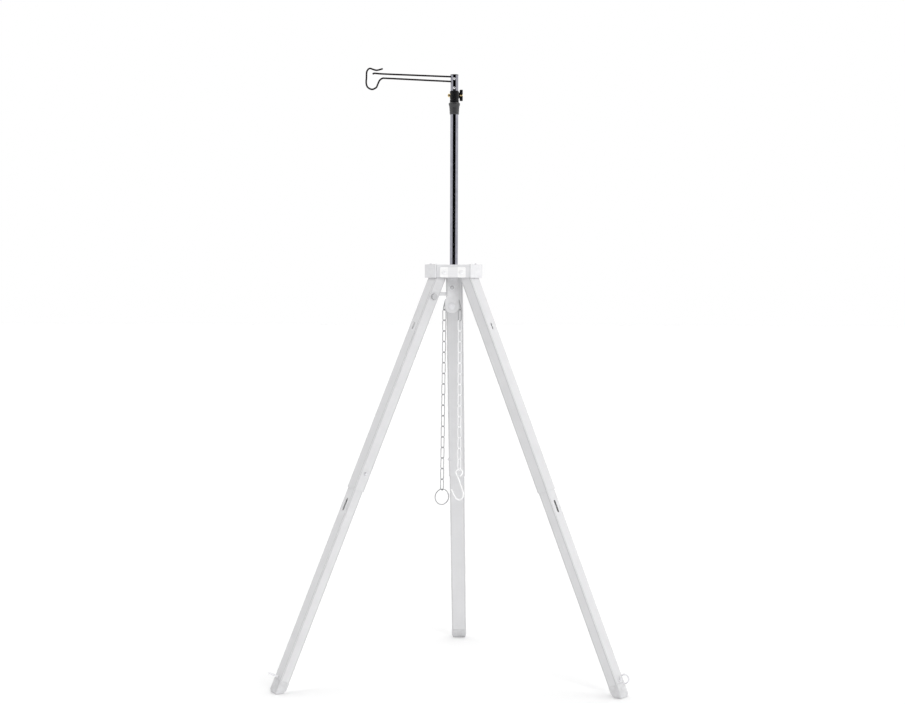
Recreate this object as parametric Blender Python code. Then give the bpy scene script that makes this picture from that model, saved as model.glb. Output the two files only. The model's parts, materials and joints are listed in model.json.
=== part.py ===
"""Camp stand: a folding three-leg stand with a chain pulley and a lantern pole.

Three telescopic legs of rectangular tube hinge in a flat hub. A yoke under the hub carries
a pulley, and a chain runs over it from a pull ring to a pot hook. A round pole stands in
the hub's socket: it extends, and its head carries a wire lantern hook.

Frame: +Z up, the arm points along -X, one leg points along +Y. The origin lies on the
floor at the centre of the stand's box. Lengths below are in millimetres.
"""
import math

import bmesh
import bpy
from mathutils import Matrix, Vector

MM = 0.001
GAP = 0.3                       # clearance between neighbouring solids

# Place of the pole's axis in the part's frame
POLE_X, POLE_Y = 0.0, -107.2

# Legs
LEG_AZIMUTH = {"left": 210.0, "right": 330.0, "rear": 90.0}
SPLAY = math.radians(23.2)      # a standing leg, from the vertical
PIVOT_RADIUS = 38.5             # hinge pin, from the pole's axis
PIVOT_Z = 952.0
TUBE_WALL = 1.2
TUBE_CORNER = 2.2
UPPER_WIDTH, UPPER_DEPTH = 40.0, 26.0
LOWER_WIDTH = UPPER_WIDTH - 2 * (TUBE_WALL + GAP)
LOWER_DEPTH = UPPER_DEPTH - 2 * (TUBE_WALL + GAP)
UPPER_TOP, UPPER_END = -10.0, 546.0      # along the leg, from the hinge pin
LOWER_TOP, LOWER_END = 440.0, 1006.7
BUTTON_AT = 505.0
UPPER_SLOT_AT, LOWER_SLOT_AT = 141.0, 586.0
EYE_AT = 1001.0
PLUG_TOP, FOOT_TOP = 985.0, 1007.0
FOOT_WIDTH, FOOT_DEPTH = 37.4, 24.0
SOLE_CHAMFER = 7.0

# Hub
HUB_BOTTOM, HUB_TOP = 940.0, 970.2
HUB_LONG_FACE = 52.8            # from the pole's axis to a long face
HUB_CORNER_FACE = 59.0          # from the pole's axis to a face over a leg
POCKET_WIDTH = UPPER_WIDTH + 0.8
POCKET_INNER, POCKET_TOP = 21.5, 966.6
CORNER_PLATE = 4.2
CORNER_WIDTH = 52.0
CORNER_SCREW_RADIUS = 61.0
SOCKET_RADIUS, SOCKET_FLOOR = 9.8, 944.0
PIN_RADIUS = 4.0

# Badge
BADGE_WIDTH, BADGE_BOTTOM, BADGE_TOP = 60.0, 940.2, 964.4
BADGE_THICK = 1.2
BADGE_SCREW_X, BADGE_SCREW_Z = 20.2, 952.0

# Pulley, in a plane behind the pole's axis
WHEEL_X, WHEEL_Y, WHEEL_Z = -4.0, 11.0, 873.0
WHEEL_RADIUS, GROOVE_RADIUS = 18.5, 15.0
WHEEL_HALF, GROOVE_HALF = 6.6, 5.2
YOKE_HALF_WIDTH, YOKE_HALF_DEPTH, YOKE_SHEET = 16.5, 9.0, 2.0
YOKE_WEB_X = WHEEL_X - 11.5      # outer face of the side web
YOKE_NECK_X = WHEEL_X + 13.9     # the cheeks' free edge, above the wheel
YOKE_NECK_LOW, YOKE_NECK_HIGH = 886.0, 897.0
AXLE_HEAD_RADIUS = 8.4
YOKE_TOP = HUB_BOTTOM - GAP
SPACER_Z = 917.0
PEG_Z, PEG_REACH = 902.0, 22.5
CHAIN_RUN = 18.3                # from the wheel's axis to each chain run
CHAIN_RADIUS = 2.6
CHAIN_PIVOT_Z = 839.4
RING_CENTRE_Z, RING_RADIUS, RING_WIRE = 419.4, 18.4, 1.2
RING_TURN = math.radians(31.0)
RING_LEAN = 4.4                 # how far the ring hangs out of plumb, away from the mast
HOOK_PINCH_Z = 464.9
HOOK_WIRE_RADIUS = 1.5

# Pole
POLE_RADIUS, POLE_WALL = 9.5, 0.9
POLE_BOTTOM, POLE_TOP = 946.1, 1346.0
INNER_RADIUS, INNER_WALL = 8.3, 1.0
INNER_BOTTOM, INNER_TOP = 1080.0, 1394.0
COLLAR_BOTTOM, COLLAR_TOP = 1324.4, 1352.3
CLAMP_BOTTOM, CLAMP_TOP = 1352.6, 1379.3
CLAMP_RADIUS, CLAMP_BORE = 10.6, 8.6
CLAMP_AXIS_Y, CLAMP_AXIS_Z = 13.0, 1371.0
EAR_BOTTOM, EAR_TOP = 1361.4, 1378.6
SLEEVE_RADIUS, SLEEVE_WALL = 9.2, 0.6
SLEEVE_BOTTOM, SLEEVE_TOP = 1379.6, 1416.6
HEAD_CAP_TOP = 1418.2
ARM_WIRE_RADIUS = 2.0
HEAD_SCREW_TOP_Z, HEAD_SCREW_BOTTOM_Z = 1407.6, 1385.8


# ---------------------------------------------------------------- materials

PALETTE = {
    "leg_paint": ((0.78, 0.78, 0.79), 0.42, 0.6),
    "hub_cast": ((0.70, 0.70, 0.72), 0.45, 0.5),
    "bright_steel": ((0.80, 0.80, 0.82), 0.22, 1.0),
    "zinc": ((0.62, 0.63, 0.65), 0.32, 1.0),
    "yoke_paint": ((0.62, 0.62, 0.64), 0.45, 0.5),
    "grey_plastic": ((0.60, 0.60, 0.61), 0.75, 0.0),
    "pole_anodised": ((0.10, 0.10, 0.11), 0.22, 0.9),
    "grip_rubber": ((0.07, 0.07, 0.075), 0.65, 0.0),
    "black_plastic": ((0.02, 0.02, 0.022), 0.38, 0.0),
    "brass": ((0.72, 0.58, 0.30), 0.30, 1.0),
    "black_wire": ((0.03, 0.02, 0.028), 0.35, 0.3),
}


def material(node, finish):
    """A material of the node's own, in the named finish."""
    colour, roughness, metallic = PALETTE[finish]
    made = bpy.data.materials.new(f"{node}_{finish}")
    made.use_nodes = True
    shader = made.node_tree.nodes["Principled BSDF"]
    shader.inputs["Base Color"].default_value = (*colour, 1.0)
    shader.inputs["Roughness"].default_value = roughness
    shader.inputs["Metallic"].default_value = metallic
    return made


# ---------------------------------------------------------------- building tools

def in_frame(point):
    """A point given from the pole's foot on the floor, in the part's frame, in metres."""
    return Vector((point[0] + POLE_X, point[1] + POLE_Y, point[2])) * MM


def loft(name, rings, finish, origin, closed=False, smooth=35.0):
    """One closed solid through rings of points. A closed loft joins its last ring to its first."""
    count = len(rings[0])
    place = in_frame(origin)
    bm = bmesh.new()
    verts = [[bm.verts.new(in_frame(p) - place) for p in ring] for ring in rings]
    pairs = list(zip(verts, verts[1:] + verts[:1] if closed else verts[1:]))
    for low, high in pairs:
        for i in range(count):
            j = (i + 1) % count
            bm.faces.new((low[i], low[j], high[j], high[i]))
    if not closed:
        bm.faces.new(verts[0][::-1])
        bm.faces.new(verts[-1])
    bmesh.ops.recalc_face_normals(bm, faces=bm.faces)
    mesh = bpy.data.meshes.new(name)
    bm.to_mesh(mesh)
    bm.free()
    mesh.shade_smooth()
    mesh.set_sharp_from_angle(angle=math.radians(smooth))
    made = bpy.data.objects.new(name, mesh)
    made.location = place
    bpy.context.scene.collection.objects.link(made)
    if finish:
        mesh.materials.append(material(name, finish))
    return made


def across(axis):
    """Two unit vectors at right angles to an axis and to each other."""
    axis = Vector(axis).normalized()
    helper = Vector((0, 0, 1)) if abs(axis.z) < 0.9 else Vector((1, 0, 0))
    first = axis.cross(helper).normalized()
    return first, axis.cross(first)


def circle(centre, axis, radius, sides):
    """A ring of points round an axis."""
    first, second = across(axis)
    turns = [2 * math.pi * (i + 0.5) / sides for i in range(sides)]
    return [Vector(centre) + radius * (math.cos(t) * first + math.sin(t) * second) for t in turns]


def turned(name, base, axis, profile, finish, origin=None, sides=24, closed=False):
    """A turned piece: profile holds (radius, distance along the axis from the base)."""
    axis = Vector(axis).normalized()
    rings = [circle(Vector(base) + axis * along, axis, radius, sides) for radius, along in profile]
    return loft(name, rings, finish, origin or base, closed)


def pipe(name, base, axis, outer, inner, length, finish, origin=None, sides=24):
    """A plain round tube."""
    profile = [(outer, 0), (outer, length), (inner, length), (inner, 0)]
    return turned(name, base, axis, profile, finish, origin, sides, closed=True)


def smooth_path(points, steps):
    """Points on a smooth curve through the given ones."""
    points = [Vector(p) for p in points]
    ends = [2 * points[0] - points[1]] + points + [2 * points[-1] - points[-2]]
    path = []
    for a, b, c, d in zip(ends, ends[1:], ends[2:], ends[3:]):
        for k in range(steps):
            t = k / steps
            path.append(0.5 * (2 * b + (c - a) * t + (2 * a - 5 * b + 4 * c - d) * t * t
                               + (3 * b - a - 3 * c + d) * t ** 3))
    return path + [points[-1]]


def rod(name, path, radius, finish, origin, sides=10, closed=False):
    """A round rod bent along a path."""
    count = len(path)
    rings = []
    side = None
    for i, point in enumerate(path):
        before = path[i - 1] if closed or i else point
        after = path[(i + 1) % count] if closed or i < count - 1 else point
        along = (after - before).normalized()
        if side is None:
            side = across(along)[0]
        side = (side - along * side.dot(along)).normalized()
        other = along.cross(side)
        turns = [2 * math.pi * k / sides for k in range(sides)]
        rings.append([point + radius * (math.cos(t) * side + math.sin(t) * other) for t in turns])
    return loft(name, rings, finish, origin, closed, smooth=60.0)


def rounded_rectangle(width, height, radius, steps=3):
    """Corner-rounded outline as (along height, along width) pairs, centred on zero."""
    outline = []
    for turn, (h, w) in enumerate(((1, 1), (-1, 1), (-1, -1), (1, -1))):
        for k in range(steps + 1):
            angle = math.pi / 2 * (turn + k / steps)
            outline.append((h * (height / 2 - radius) + radius * math.cos(angle),
                            w * (width / 2 - radius) + radius * math.sin(angle)))
    return outline


def capsule(length, width, steps=6):
    """A slot's outline as (along, across) pairs, centred on zero."""
    half = length / 2 - width / 2
    outline = []
    for end in (1, -1):
        for k in range(steps + 1):
            angle = math.pi * (k / steps - 0.5) + (0 if end > 0 else math.pi)
            outline.append((end * half + width / 2 * math.cos(angle), width / 2 * math.sin(angle)))
    return outline


def box(name, low, high, finish, origin=None, turn=0.0):
    """A box between two corners, turned about the pole's axis by an azimuth in degrees."""
    x0, y0, z0 = low
    x1, y1, z1 = high
    spin = Matrix.Rotation(math.radians(turn), 3, "Z")
    rings = [[spin @ Vector(p) for p in ((x0, y0, z), (x1, y0, z), (x1, y1, z), (x0, y1, z))]
             for z in (z0, z1)]
    return loft(name, rings, finish, origin or (0, 0, z0))


def combine(target, tool, operation="DIFFERENCE"):
    """Cut the tool from the target, or add it. The tool itself stays a hidden guide."""
    tool.hide_render = True
    tool.display_type = "WIRE"
    tool.parent = target
    tool.matrix_parent_inverse = Matrix.Translation(-target.location)
    modifier = target.modifiers.new(tool.name, "BOOLEAN")
    modifier.operation = operation
    modifier.solver = "EXACT"
    modifier.object = tool


# ---------------------------------------------------------------- hub

def radial(azimuth, radius, sideways, z):
    """A point at a leg's azimuth: distance out, distance sideways, height."""
    angle = math.radians(azimuth)
    out = Vector((math.cos(angle), math.sin(angle), 0))
    side = Vector((-math.sin(angle), math.cos(angle), 0))
    return out * radius + side * sideways + Vector((0, 0, z))


def hub():
    half_corner = (HUB_LONG_FACE - HUB_CORNER_FACE * 0.5) / math.cos(math.radians(30))
    outline = []
    for azimuth in sorted(LEG_AZIMUTH.values()):
        outline.append(radial(azimuth, HUB_CORNER_FACE, -half_corner, 0))
        outline.append(radial(azimuth, HUB_CORNER_FACE, half_corner, 0))
    rings = [[p + Vector((0, 0, z)) for p in outline] for z in (HUB_BOTTOM, HUB_TOP)]
    body = loft("hub_body", rings, "hub_cast", (0, 0, HUB_BOTTOM))
    for leg, azimuth in LEG_AZIMUTH.items():
        pocket = box(f"pocket_{leg}", (POCKET_INNER, -POCKET_WIDTH / 2, HUB_BOTTOM - 2),
                     (HUB_CORNER_FACE + 2, POCKET_WIDTH / 2, POCKET_TOP), None, turn=azimuth)
        combine(body, pocket)
        # The pin goes in from the side that no badge covers, and stops in a blind hole
        way_in = -1 if leg == "left" else 1
        start = radial(azimuth, PIVOT_RADIUS, -way_in * 28.5, PIVOT_Z)
        along = radial(azimuth, 0, way_in, 0)
        combine(body, turned(f"pin_hole_{leg}", start, along,
                             [(PIN_RADIUS + GAP, 0), (PIN_RADIUS + GAP, 75)], None, sides=16))
        turned(f"pivot_pin_{leg}", start + along * 0.5, along,
               [(PIN_RADIUS - 0.6, 0), (PIN_RADIUS, 0.6), (PIN_RADIUS, 59.4),
                (PIN_RADIUS - 0.6, 60)], "zinc", sides=16)
    combine(body, turned("socket_hole", (0, 0, SOCKET_FLOOR), (0, 0, 1),
                         [(SOCKET_RADIUS, 0), (SOCKET_RADIUS, 40)], None, sides=24))
    for x in (-BADGE_SCREW_X, BADGE_SCREW_X):
        combine(body, turned(f"badge_hole_{'a' if x < 0 else 'b'}",
                             (x, -HUB_LONG_FACE - 1, BADGE_SCREW_Z), (0, 1, 0),
                             [(1.8, 0), (1.8, 5)], None, sides=12))
    combine(body, turned("yoke_screw_hole", (WHEEL_X, WHEEL_Y + 2, HUB_BOTTOM - 1), (0, 0, 1),
                         [(2.3, 0), (2.3, 9)], None, sides=12))


def stop_line(z):
    """How far out a standing leg's outer face lies at a height, with its clearance."""
    return (PIVOT_RADIUS + (PIVOT_Z - z) * math.tan(SPLAY)
            + UPPER_DEPTH / 2 / math.cos(SPLAY) + GAP)


def corner_block(leg, azimuth):
    """The block that closes a pocket: its sloping inner face is the leg's stop."""
    outer = HUB_CORNER_FACE + GAP
    low, high = HUB_BOTTOM - 0.2, HUB_TOP + 1.2
    plate = box(f"corner_block_{leg}", (outer, -CORNER_WIDTH / 2, low),
                (outer + CORNER_PLATE, CORNER_WIDTH / 2, high), "hub_cast", turn=azimuth)
    bend = PIVOT_Z - 0.2
    profile = [(outer + 1, HUB_BOTTOM), (stop_line(HUB_BOTTOM), HUB_BOTTOM),
               (stop_line(bend), bend), (stop_line(bend), POCKET_TOP - GAP),
               (outer + 1, POCKET_TOP - GAP)]
    rings = [[radial(azimuth, r, side * UPPER_WIDTH / 2, z) for r, z in profile]
             for side in (-1, 1)]
    combine(plate, loft(f"stop_wedge_{leg}", rings, None, (0, 0, low)), "UNION")
    combine(plate, turned(f"corner_screw_hole_{leg}",
                          radial(azimuth, CORNER_SCREW_RADIUS, 0, low - 2), (0, 0, 1),
                          [(1.6, 0), (1.6, 40)], None, sides=12))
    base = radial(azimuth, CORNER_SCREW_RADIUS, 0, 938.0)
    head = high + GAP - 938.0
    turned(f"corner_screw_{leg}", base, (0, 0, 1),
           [(0.7, 0), (1.3, 0.8), (1.3, head), (3.3, head), (3.3, head + 1.6), (2.2, head + 2.6)],
           "zinc", sides=12)


def badge():
    """A blank plate on the front long face, with a screw at each end."""
    back = -HUB_LONG_FACE - GAP
    middle = (BADGE_BOTTOM + BADGE_TOP) / 2
    outline = rounded_rectangle(BADGE_WIDTH, BADGE_TOP - BADGE_BOTTOM, 3.0, 4)
    rings = [[Vector((w, y, middle + h)) for h, w in outline] for y in (back, back - BADGE_THICK)]
    plate = loft("badge_plate", rings, "bright_steel", (0, back, middle))
    for side, x in (("left", -BADGE_SCREW_X), ("right", BADGE_SCREW_X)):
        centre = Vector((x, back, BADGE_SCREW_Z))
        combine(plate, turned(f"badge_plate_hole_{side}", centre + Vector((0, 3, 0)), (0, -1, 0),
                              [(1.8, 0), (1.8, 8)], None, sides=12))
        turned(f"badge_screw_{side}", centre + Vector((0, 3.4, 0)), (0, -1, 0),
               [(1.5, 0), (1.5, 4.9), (5.4, 4.9), (5.4, 5.9), (4.2, 6.9), (2.0, 7.3)],
               "bright_steel", sides=16)


# ---------------------------------------------------------------- legs

class Leg:
    """A standing leg: s runs down it from the hinge pin, a out of its outer face, b sideways."""

    def __init__(self, name, azimuth):
        self.name = name
        self.azimuth = azimuth
        self.pivot = radial(azimuth, PIVOT_RADIUS, 0, PIVOT_Z)
        self.down = radial(azimuth, math.sin(SPLAY), 0, -math.cos(SPLAY))
        self.out = radial(azimuth, math.cos(SPLAY), 0, math.sin(SPLAY))
        self.side = radial(azimuth, 0, 1, 0)

    def at(self, s, a=0.0, b=0.0):
        return self.pivot + self.down * s + self.out * a + self.side * b

    def at_height(self, z, a, b):
        """The point on the line (a, b) along the leg that lies at a height."""
        s = (PIVOT_Z + a * math.sin(SPLAY) - z) / math.cos(SPLAY)
        return self.at(s, a, b)


def tube_rings(leg, width, depth, start, end):
    """The four rings of a rectangular tube: outer start and end, inner end and start."""
    outer = rounded_rectangle(width, depth, TUBE_CORNER)
    inner = rounded_rectangle(width - 2 * TUBE_WALL, depth - 2 * TUBE_WALL,
                              TUBE_CORNER - TUBE_WALL)
    return ([[leg.at(s, a, b) for a, b in outer] for s in (start, end)]
            + [[leg.at(s, a, b) for a, b in inner] for s in (end, start)])


def slot_cutter(name, leg, s, face, length, width):
    """A slot through the outer wall only."""
    outline = capsule(length, width)
    rings = [[leg.at(s + along, a, b) for along, b in outline] for a in (face + 2, face - 4)]
    return loft(name, rings, None, leg.at(s))


def upper_tube(leg):
    tube = loft(f"upper_tube_{leg.name}",
                tube_rings(leg, UPPER_WIDTH, UPPER_DEPTH, UPPER_TOP, UPPER_END),
                "leg_paint", leg.pivot, closed=True)
    combine(tube, turned(f"hinge_hole_{leg.name}", leg.at(0, 0, -30), leg.side,
                         [(PIN_RADIUS + GAP, 0), (PIN_RADIUS + GAP, 60)], None, sides=16))
    combine(tube, slot_cutter(f"upper_slot_{leg.name}", leg, UPPER_SLOT_AT, UPPER_DEPTH / 2,
                              17.0, 4.0))
    combine(tube, turned(f"button_hole_upper_{leg.name}", leg.at(BUTTON_AT, 0, 15), leg.side,
                         [(3.9, 0), (3.9, 8)], None, sides=16))
    return tube


def lower_tube(leg):
    tube = loft(f"lower_tube_{leg.name}",
                tube_rings(leg, LOWER_WIDTH, LOWER_DEPTH, LOWER_TOP, LOWER_END),
                "leg_paint", leg.at(LOWER_TOP), closed=True)
    combine(tube, slot_cutter(f"lower_slot_{leg.name}", leg, LOWER_SLOT_AT, LOWER_DEPTH / 2,
                              30.0, 8.0))
    combine(tube, turned(f"button_hole_lower_{leg.name}", leg.at(BUTTON_AT, 0, 12), leg.side,
                         [(3.9, 0), (3.9, 10)], None, sides=16))
    combine(tube, turned(f"eye_hole_{leg.name}", leg.at(EYE_AT, 7, 0), leg.out,
                         [(2.3, 0), (2.3, 10)], None, sides=12))


def snap_button(leg):
    """A domed button that locks the two tubes, and the V spring behind it."""
    inside = LOWER_WIDTH / 2 - TUBE_WALL - GAP
    base = leg.at(BUTTON_AT, 0, inside - 1.6)
    reach = UPPER_WIDTH / 2 + 3.4 - (inside - 1.6)
    turned(f"snap_button_{leg.name}", base, leg.side,
           [(5.0, 0), (5.0, 1.6), (3.6, 1.6), (3.6, reach - 1.8), (2.9, reach - 0.6), (1.4, reach)],
           "bright_steel", sides=16)
    thick = 0.8
    near, far = inside - 1.6 - GAP, -(LOWER_WIDTH / 2 - TUBE_WALL - GAP)
    ends, fold = BUTTON_AT + 5.0, BUTTON_AT - 47.0
    outline = [(ends, near), (fold, 0.6), (fold, -0.6), (ends, far), (ends, far + thick),
               (fold + 6.0, 0.0), (ends, near - thick)]
    rings = [[leg.at(s, a, b) for s, b in outline] for a in (-4.0, 4.0)]
    loft(f"button_spring_{leg.name}", rings, "zinc", leg.at(fold))


def foot(leg):
    """A moulded plug in the tube's end, held by the eye's shank, with a chamfered flat sole."""
    outer = rounded_rectangle(FOOT_WIDTH, FOOT_DEPTH, TUBE_CORNER)
    sole = rounded_rectangle(FOOT_WIDTH - 6, FOOT_DEPTH - 6, TUBE_CORNER - 0.5)
    fit = 2 * (TUBE_WALL + GAP)
    plug = rounded_rectangle(LOWER_WIDTH - fit, LOWER_DEPTH - fit, TUBE_CORNER - TUBE_WALL)
    rings = [[leg.at(PLUG_TOP, a, b) for a, b in plug],
             [leg.at(FOOT_TOP, a, b) for a, b in plug],
             [leg.at(FOOT_TOP, a, b) for a, b in outer],
             [leg.at_height(SOLE_CHAMFER, a, b) for a, b in outer],
             [leg.at_height(0.0, a, b) for a, b in sole]]
    made = loft(f"foot_{leg.name}", rings, "grey_plastic", leg.at(FOOT_TOP))
    combine(made, turned(f"eye_hole_foot_{leg.name}", leg.at(EYE_AT, 7, 0), leg.out,
                         [(2.3, 0), (2.3, 10)], None, sides=12))


def eye_bolt(leg, across_leg):
    """A peg eye bent from rod. Its loop lies across the leg or along it."""
    wire, loop = 1.9, 10.0
    face = LOWER_DEPTH / 2
    neck = face + 4.0
    centre = neck + loop
    spread = leg.side if across_leg else -leg.down
    path = [leg.at(EYE_AT, face - 4.0), leg.at(EYE_AT, face), leg.at(EYE_AT, neck - 1.5)]
    for k in range(13):
        turn = math.radians(12 + 308 * k / 12)
        path.append(leg.at(EYE_AT, centre - loop * math.cos(turn)) + spread * loop * math.sin(turn))
    rod(f"eye_bolt_{leg.name}", path, wire, "zinc", leg.at(EYE_AT, face), sides=8)


def leg_knob(leg, tube):
    """A thumb knob screwed through the upper tube's side wall."""
    face = UPPER_WIDTH / 2
    centre = leg.at(62.0, 0, 0)
    combine(tube, turned("knob_hole", centre + leg.side * (face - 4), leg.side,
                         [(3.3, 0), (3.3, 8)], None, sides=16))
    start = face - 6.0
    turned("leg_knob", centre + leg.side * start, leg.side,
           [(3.0, 0), (3.0, 6.4), (6.6, 6.4), (7.5, 7.4), (7.5, 11.6), (6.6, 12.6), (3.0, 12.9)],
           "grey_plastic", sides=20)


# ---------------------------------------------------------------- pulley and chain

def yoke():
    """The sheet yoke under the hub: two cheeks, a top web and a half-height side web."""
    outline = [(YOKE_WEB_X, YOKE_TOP), (YOKE_NECK_X, YOKE_TOP)]
    for k in range(13):
        turn = -math.pi * k / 12
        outline.append((WHEEL_X + YOKE_HALF_WIDTH * math.cos(turn),
                        WHEEL_Z + YOKE_HALF_WIDTH * math.sin(turn)))
    outline += [(WHEEL_X - YOKE_HALF_WIDTH, YOKE_NECK_LOW), (YOKE_WEB_X, YOKE_NECK_HIGH)]
    front, back = WHEEL_Y - YOKE_HALF_DEPTH, WHEEL_Y + YOKE_HALF_DEPTH
    rings = [[Vector((x, y, z)) for x, z in outline] for y in (front, back)]
    body = loft("pulley_yoke", rings, "yoke_paint", (WHEEL_X, WHEEL_Y, YOKE_TOP))
    inner_front, inner_back = front + YOKE_SHEET, back - YOKE_SHEET
    left, right = WHEEL_X - YOKE_HALF_WIDTH, WHEEL_X + YOKE_HALF_WIDTH
    combine(body, box("yoke_slot", (left - 5, inner_front, 840), (right + 5, inner_back, 896), None))
    combine(body, box("yoke_room", (YOKE_WEB_X + YOKE_SHEET, inner_front, 890),
                      (right + 5, inner_back, YOKE_TOP - 3.0), None))
    for name, z, radius in (("axle_hole", WHEEL_Z, 3.3), ("spacer_hole", SPACER_Z, 4.5)):
        combine(body, turned(name, (WHEEL_X, front - 2, z), (0, 1, 0),
                             [(radius, 0), (radius, 2 * YOKE_HALF_DEPTH + 4)], None, sides=16))
    combine(body, turned("peg_hole", (YOKE_WEB_X - 2, WHEEL_Y, PEG_Z), (1, 0, 0),
                         [(2.8, 0), (2.8, 6)], None, sides=12))
    combine(body, turned("yoke_web_hole", (WHEEL_X, WHEEL_Y + 2, YOKE_TOP - 5), (0, 0, 1),
                         [(2.3, 0), (2.3, 8)], None, sides=12))
    turned("yoke_screw", (WHEEL_X, WHEEL_Y + 2, YOKE_TOP - 6.4), (0, 0, 1),
           [(2.4, 0), (3.6, 0.8), (3.6, 3.1), (2.0, 3.1), (2.0, 13.0)], "zinc", sides=12)
    turned("yoke_spacer", (WHEEL_X, front - GAP, SPACER_Z), (0, 1, 0),
           [(4.2, 0), (4.2, 2 * (YOKE_HALF_DEPTH + GAP))], "bright_steel", sides=16)
    turned("chain_peg", (YOKE_WEB_X - PEG_REACH, WHEEL_Y, PEG_Z), (1, 0, 0),
           [(3.9, 0), (4.6, 0.8), (4.6, PEG_REACH - GAP), (2.5, PEG_REACH - GAP),
            (2.5, PEG_REACH + 4.5)], "yoke_paint", sides=16)


def pulley():
    """The axle, riveted at both ends, and the grooved wheel that spins on it."""
    front = WHEEL_Y - YOKE_HALF_DEPTH
    depth = 2 * YOKE_HALF_DEPTH
    turned("pulley_axle", (WHEEL_X, front - 1.9, WHEEL_Z), (0, 1, 0),
           [(AXLE_HEAD_RADIUS - 1, 0), (AXLE_HEAD_RADIUS, 0.9), (AXLE_HEAD_RADIUS, 1.6), (3.0, 1.6),
            (3.0, depth + 2.2), (4.4, depth + 2.2), (4.4, depth + 3.4)], "zinc", sides=24)
    turned("pulley_wheel", (WHEEL_X, WHEEL_Y - WHEEL_HALF, WHEEL_Z), (0, 1, 0),
           [(3.3, 0), (WHEEL_RADIUS, 0), (WHEEL_RADIUS, WHEEL_HALF - GROOVE_HALF),
            (GROOVE_RADIUS, WHEEL_HALF - 3.2), (GROOVE_RADIUS, WHEEL_HALF + 3.2),
            (WHEEL_RADIUS, WHEEL_HALF + GROOVE_HALF), (WHEEL_RADIUS, 2 * WHEEL_HALF),
            (3.3, 2 * WHEEL_HALF)],
           "grey_plastic", origin=(WHEEL_X, WHEEL_Y, WHEEL_Z), sides=32, closed=True)


def chains():
    """The chain as three plain runs, the pull ring and the pot hook."""
    over = [Vector((WHEEL_X + CHAIN_RUN, WHEEL_Y, CHAIN_PIVOT_Z + 1.5))]
    for k in range(13):
        turn = math.pi * k / 12
        over.append(Vector((WHEEL_X + CHAIN_RUN * math.cos(turn), WHEEL_Y,
                            WHEEL_Z + CHAIN_RUN * math.sin(turn))))
    over.append(Vector((WHEEL_X - CHAIN_RUN, WHEEL_Y, CHAIN_PIVOT_Z + 1.5)))
    rod("chain_over_wheel", over, CHAIN_RADIUS, "zinc", over[0], sides=8)

    ring_top = RING_CENTRE_Z + RING_RADIUS
    hook_top = HOOK_PINCH_Z + 21.0
    runs = (("chain_ring_side", WHEEL_X - CHAIN_RUN, RING_LEAN, ring_top + RING_WIRE + 1.2),
            ("chain_hook_side", WHEEL_X + CHAIN_RUN, 0.0, hook_top + HOOK_WIRE_RADIUS + 1.2))
    for name, x, lean, end in runs:
        low = Vector((x - lean, WHEEL_Y, end))
        run = Vector((x, WHEEL_Y, CHAIN_PIVOT_Z - 1.5)) - low
        turned(name, low, run, [(CHAIN_RADIUS, 0), (CHAIN_RADIUS, run.length)],
               "zinc", origin=(x, WHEEL_Y, CHAIN_PIVOT_Z), sides=8)

    centre = Vector((WHEEL_X - CHAIN_RUN - RING_LEAN, WHEEL_Y, RING_CENTRE_Z))
    flat = Vector((math.cos(RING_TURN), math.sin(RING_TURN), 0))
    turns = [2 * math.pi * k / 32 for k in range(32)]
    ring = [centre + RING_RADIUS * (flat * math.sin(t) + Vector((0, 0, math.cos(t)))) for t in turns]
    rod("pull_ring", ring, RING_WIRE, "zinc", centre + Vector((0, 0, RING_RADIUS)), sides=6,
        closed=True)

    # An open eye at the top, a shank that leans out, and the hook's bowl and tip
    shape = [(3.4, 3.6), (8.6, 9.4), (9.3, 16.0), (2.1, 21.0), (-4.6, 16.2), (-4.6, 9.0),
             (0.0, -1.0), (6.0, -18.0), (11.3, -33.0), (11.8, -43.0), (7.8, -50.0),
             (1.5, -52.4), (-4.8, -49.4), (-9.5, -42.0), (-13.5, -34.0), (-16.5, -27.0)]
    pinch_x = WHEEL_X + CHAIN_RUN - 2.1
    path = smooth_path([(pinch_x + x, WHEEL_Y, HOOK_PINCH_Z + z) for x, z in shape], 2)
    rod("pot_hook", path, HOOK_WIRE_RADIUS, "bright_steel",
        (WHEEL_X + CHAIN_RUN, WHEEL_Y, hook_top), sides=8)


# ---------------------------------------------------------------- pole

def pole():
    """The outer tube with its foot, and the inner tube that slides in it."""
    bore = POLE_RADIUS - POLE_WALL
    turned("pole_foot", (0, 0, SOCKET_FLOOR + GAP), (0, 0, 1),
           [(8.6, 0), (9.3, 0.6), (9.3, 1.5), (bore - GAP, 1.5), (bore - GAP, 13), (7.6, 14)],
           "black_plastic", sides=24)
    pipe("pole_tube", (0, 0, POLE_BOTTOM), (0, 0, 1), POLE_RADIUS, bore, POLE_TOP - POLE_BOTTOM,
         "pole_anodised")
    pipe("inner_tube", (0, 0, INNER_BOTTOM), (0, 0, 1), INNER_RADIUS, INNER_RADIUS - INNER_WALL,
         INNER_TOP - INNER_BOTTOM, "pole_anodised")


def collar():
    """The flared grip on the pole's top end."""
    bore, lip = POLE_RADIUS + GAP, INNER_RADIUS + GAP
    shoulder = POLE_TOP + GAP - COLLAR_BOTTOM
    top = COLLAR_TOP - COLLAR_BOTTOM
    turned("pole_collar", (0, 0, COLLAR_BOTTOM), (0, 0, 1),
           [(10.5, 0), (10.9, 0.8), (11.4, 10), (12.1, 19), (13.2, 22.6), (13.5, 24.6), (13.2, 26.2),
            (11.6, top), (lip, top), (lip, shoulder), (bore, shoulder), (bore, 0)],
           "grip_rubber", sides=24, closed=True)


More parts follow.
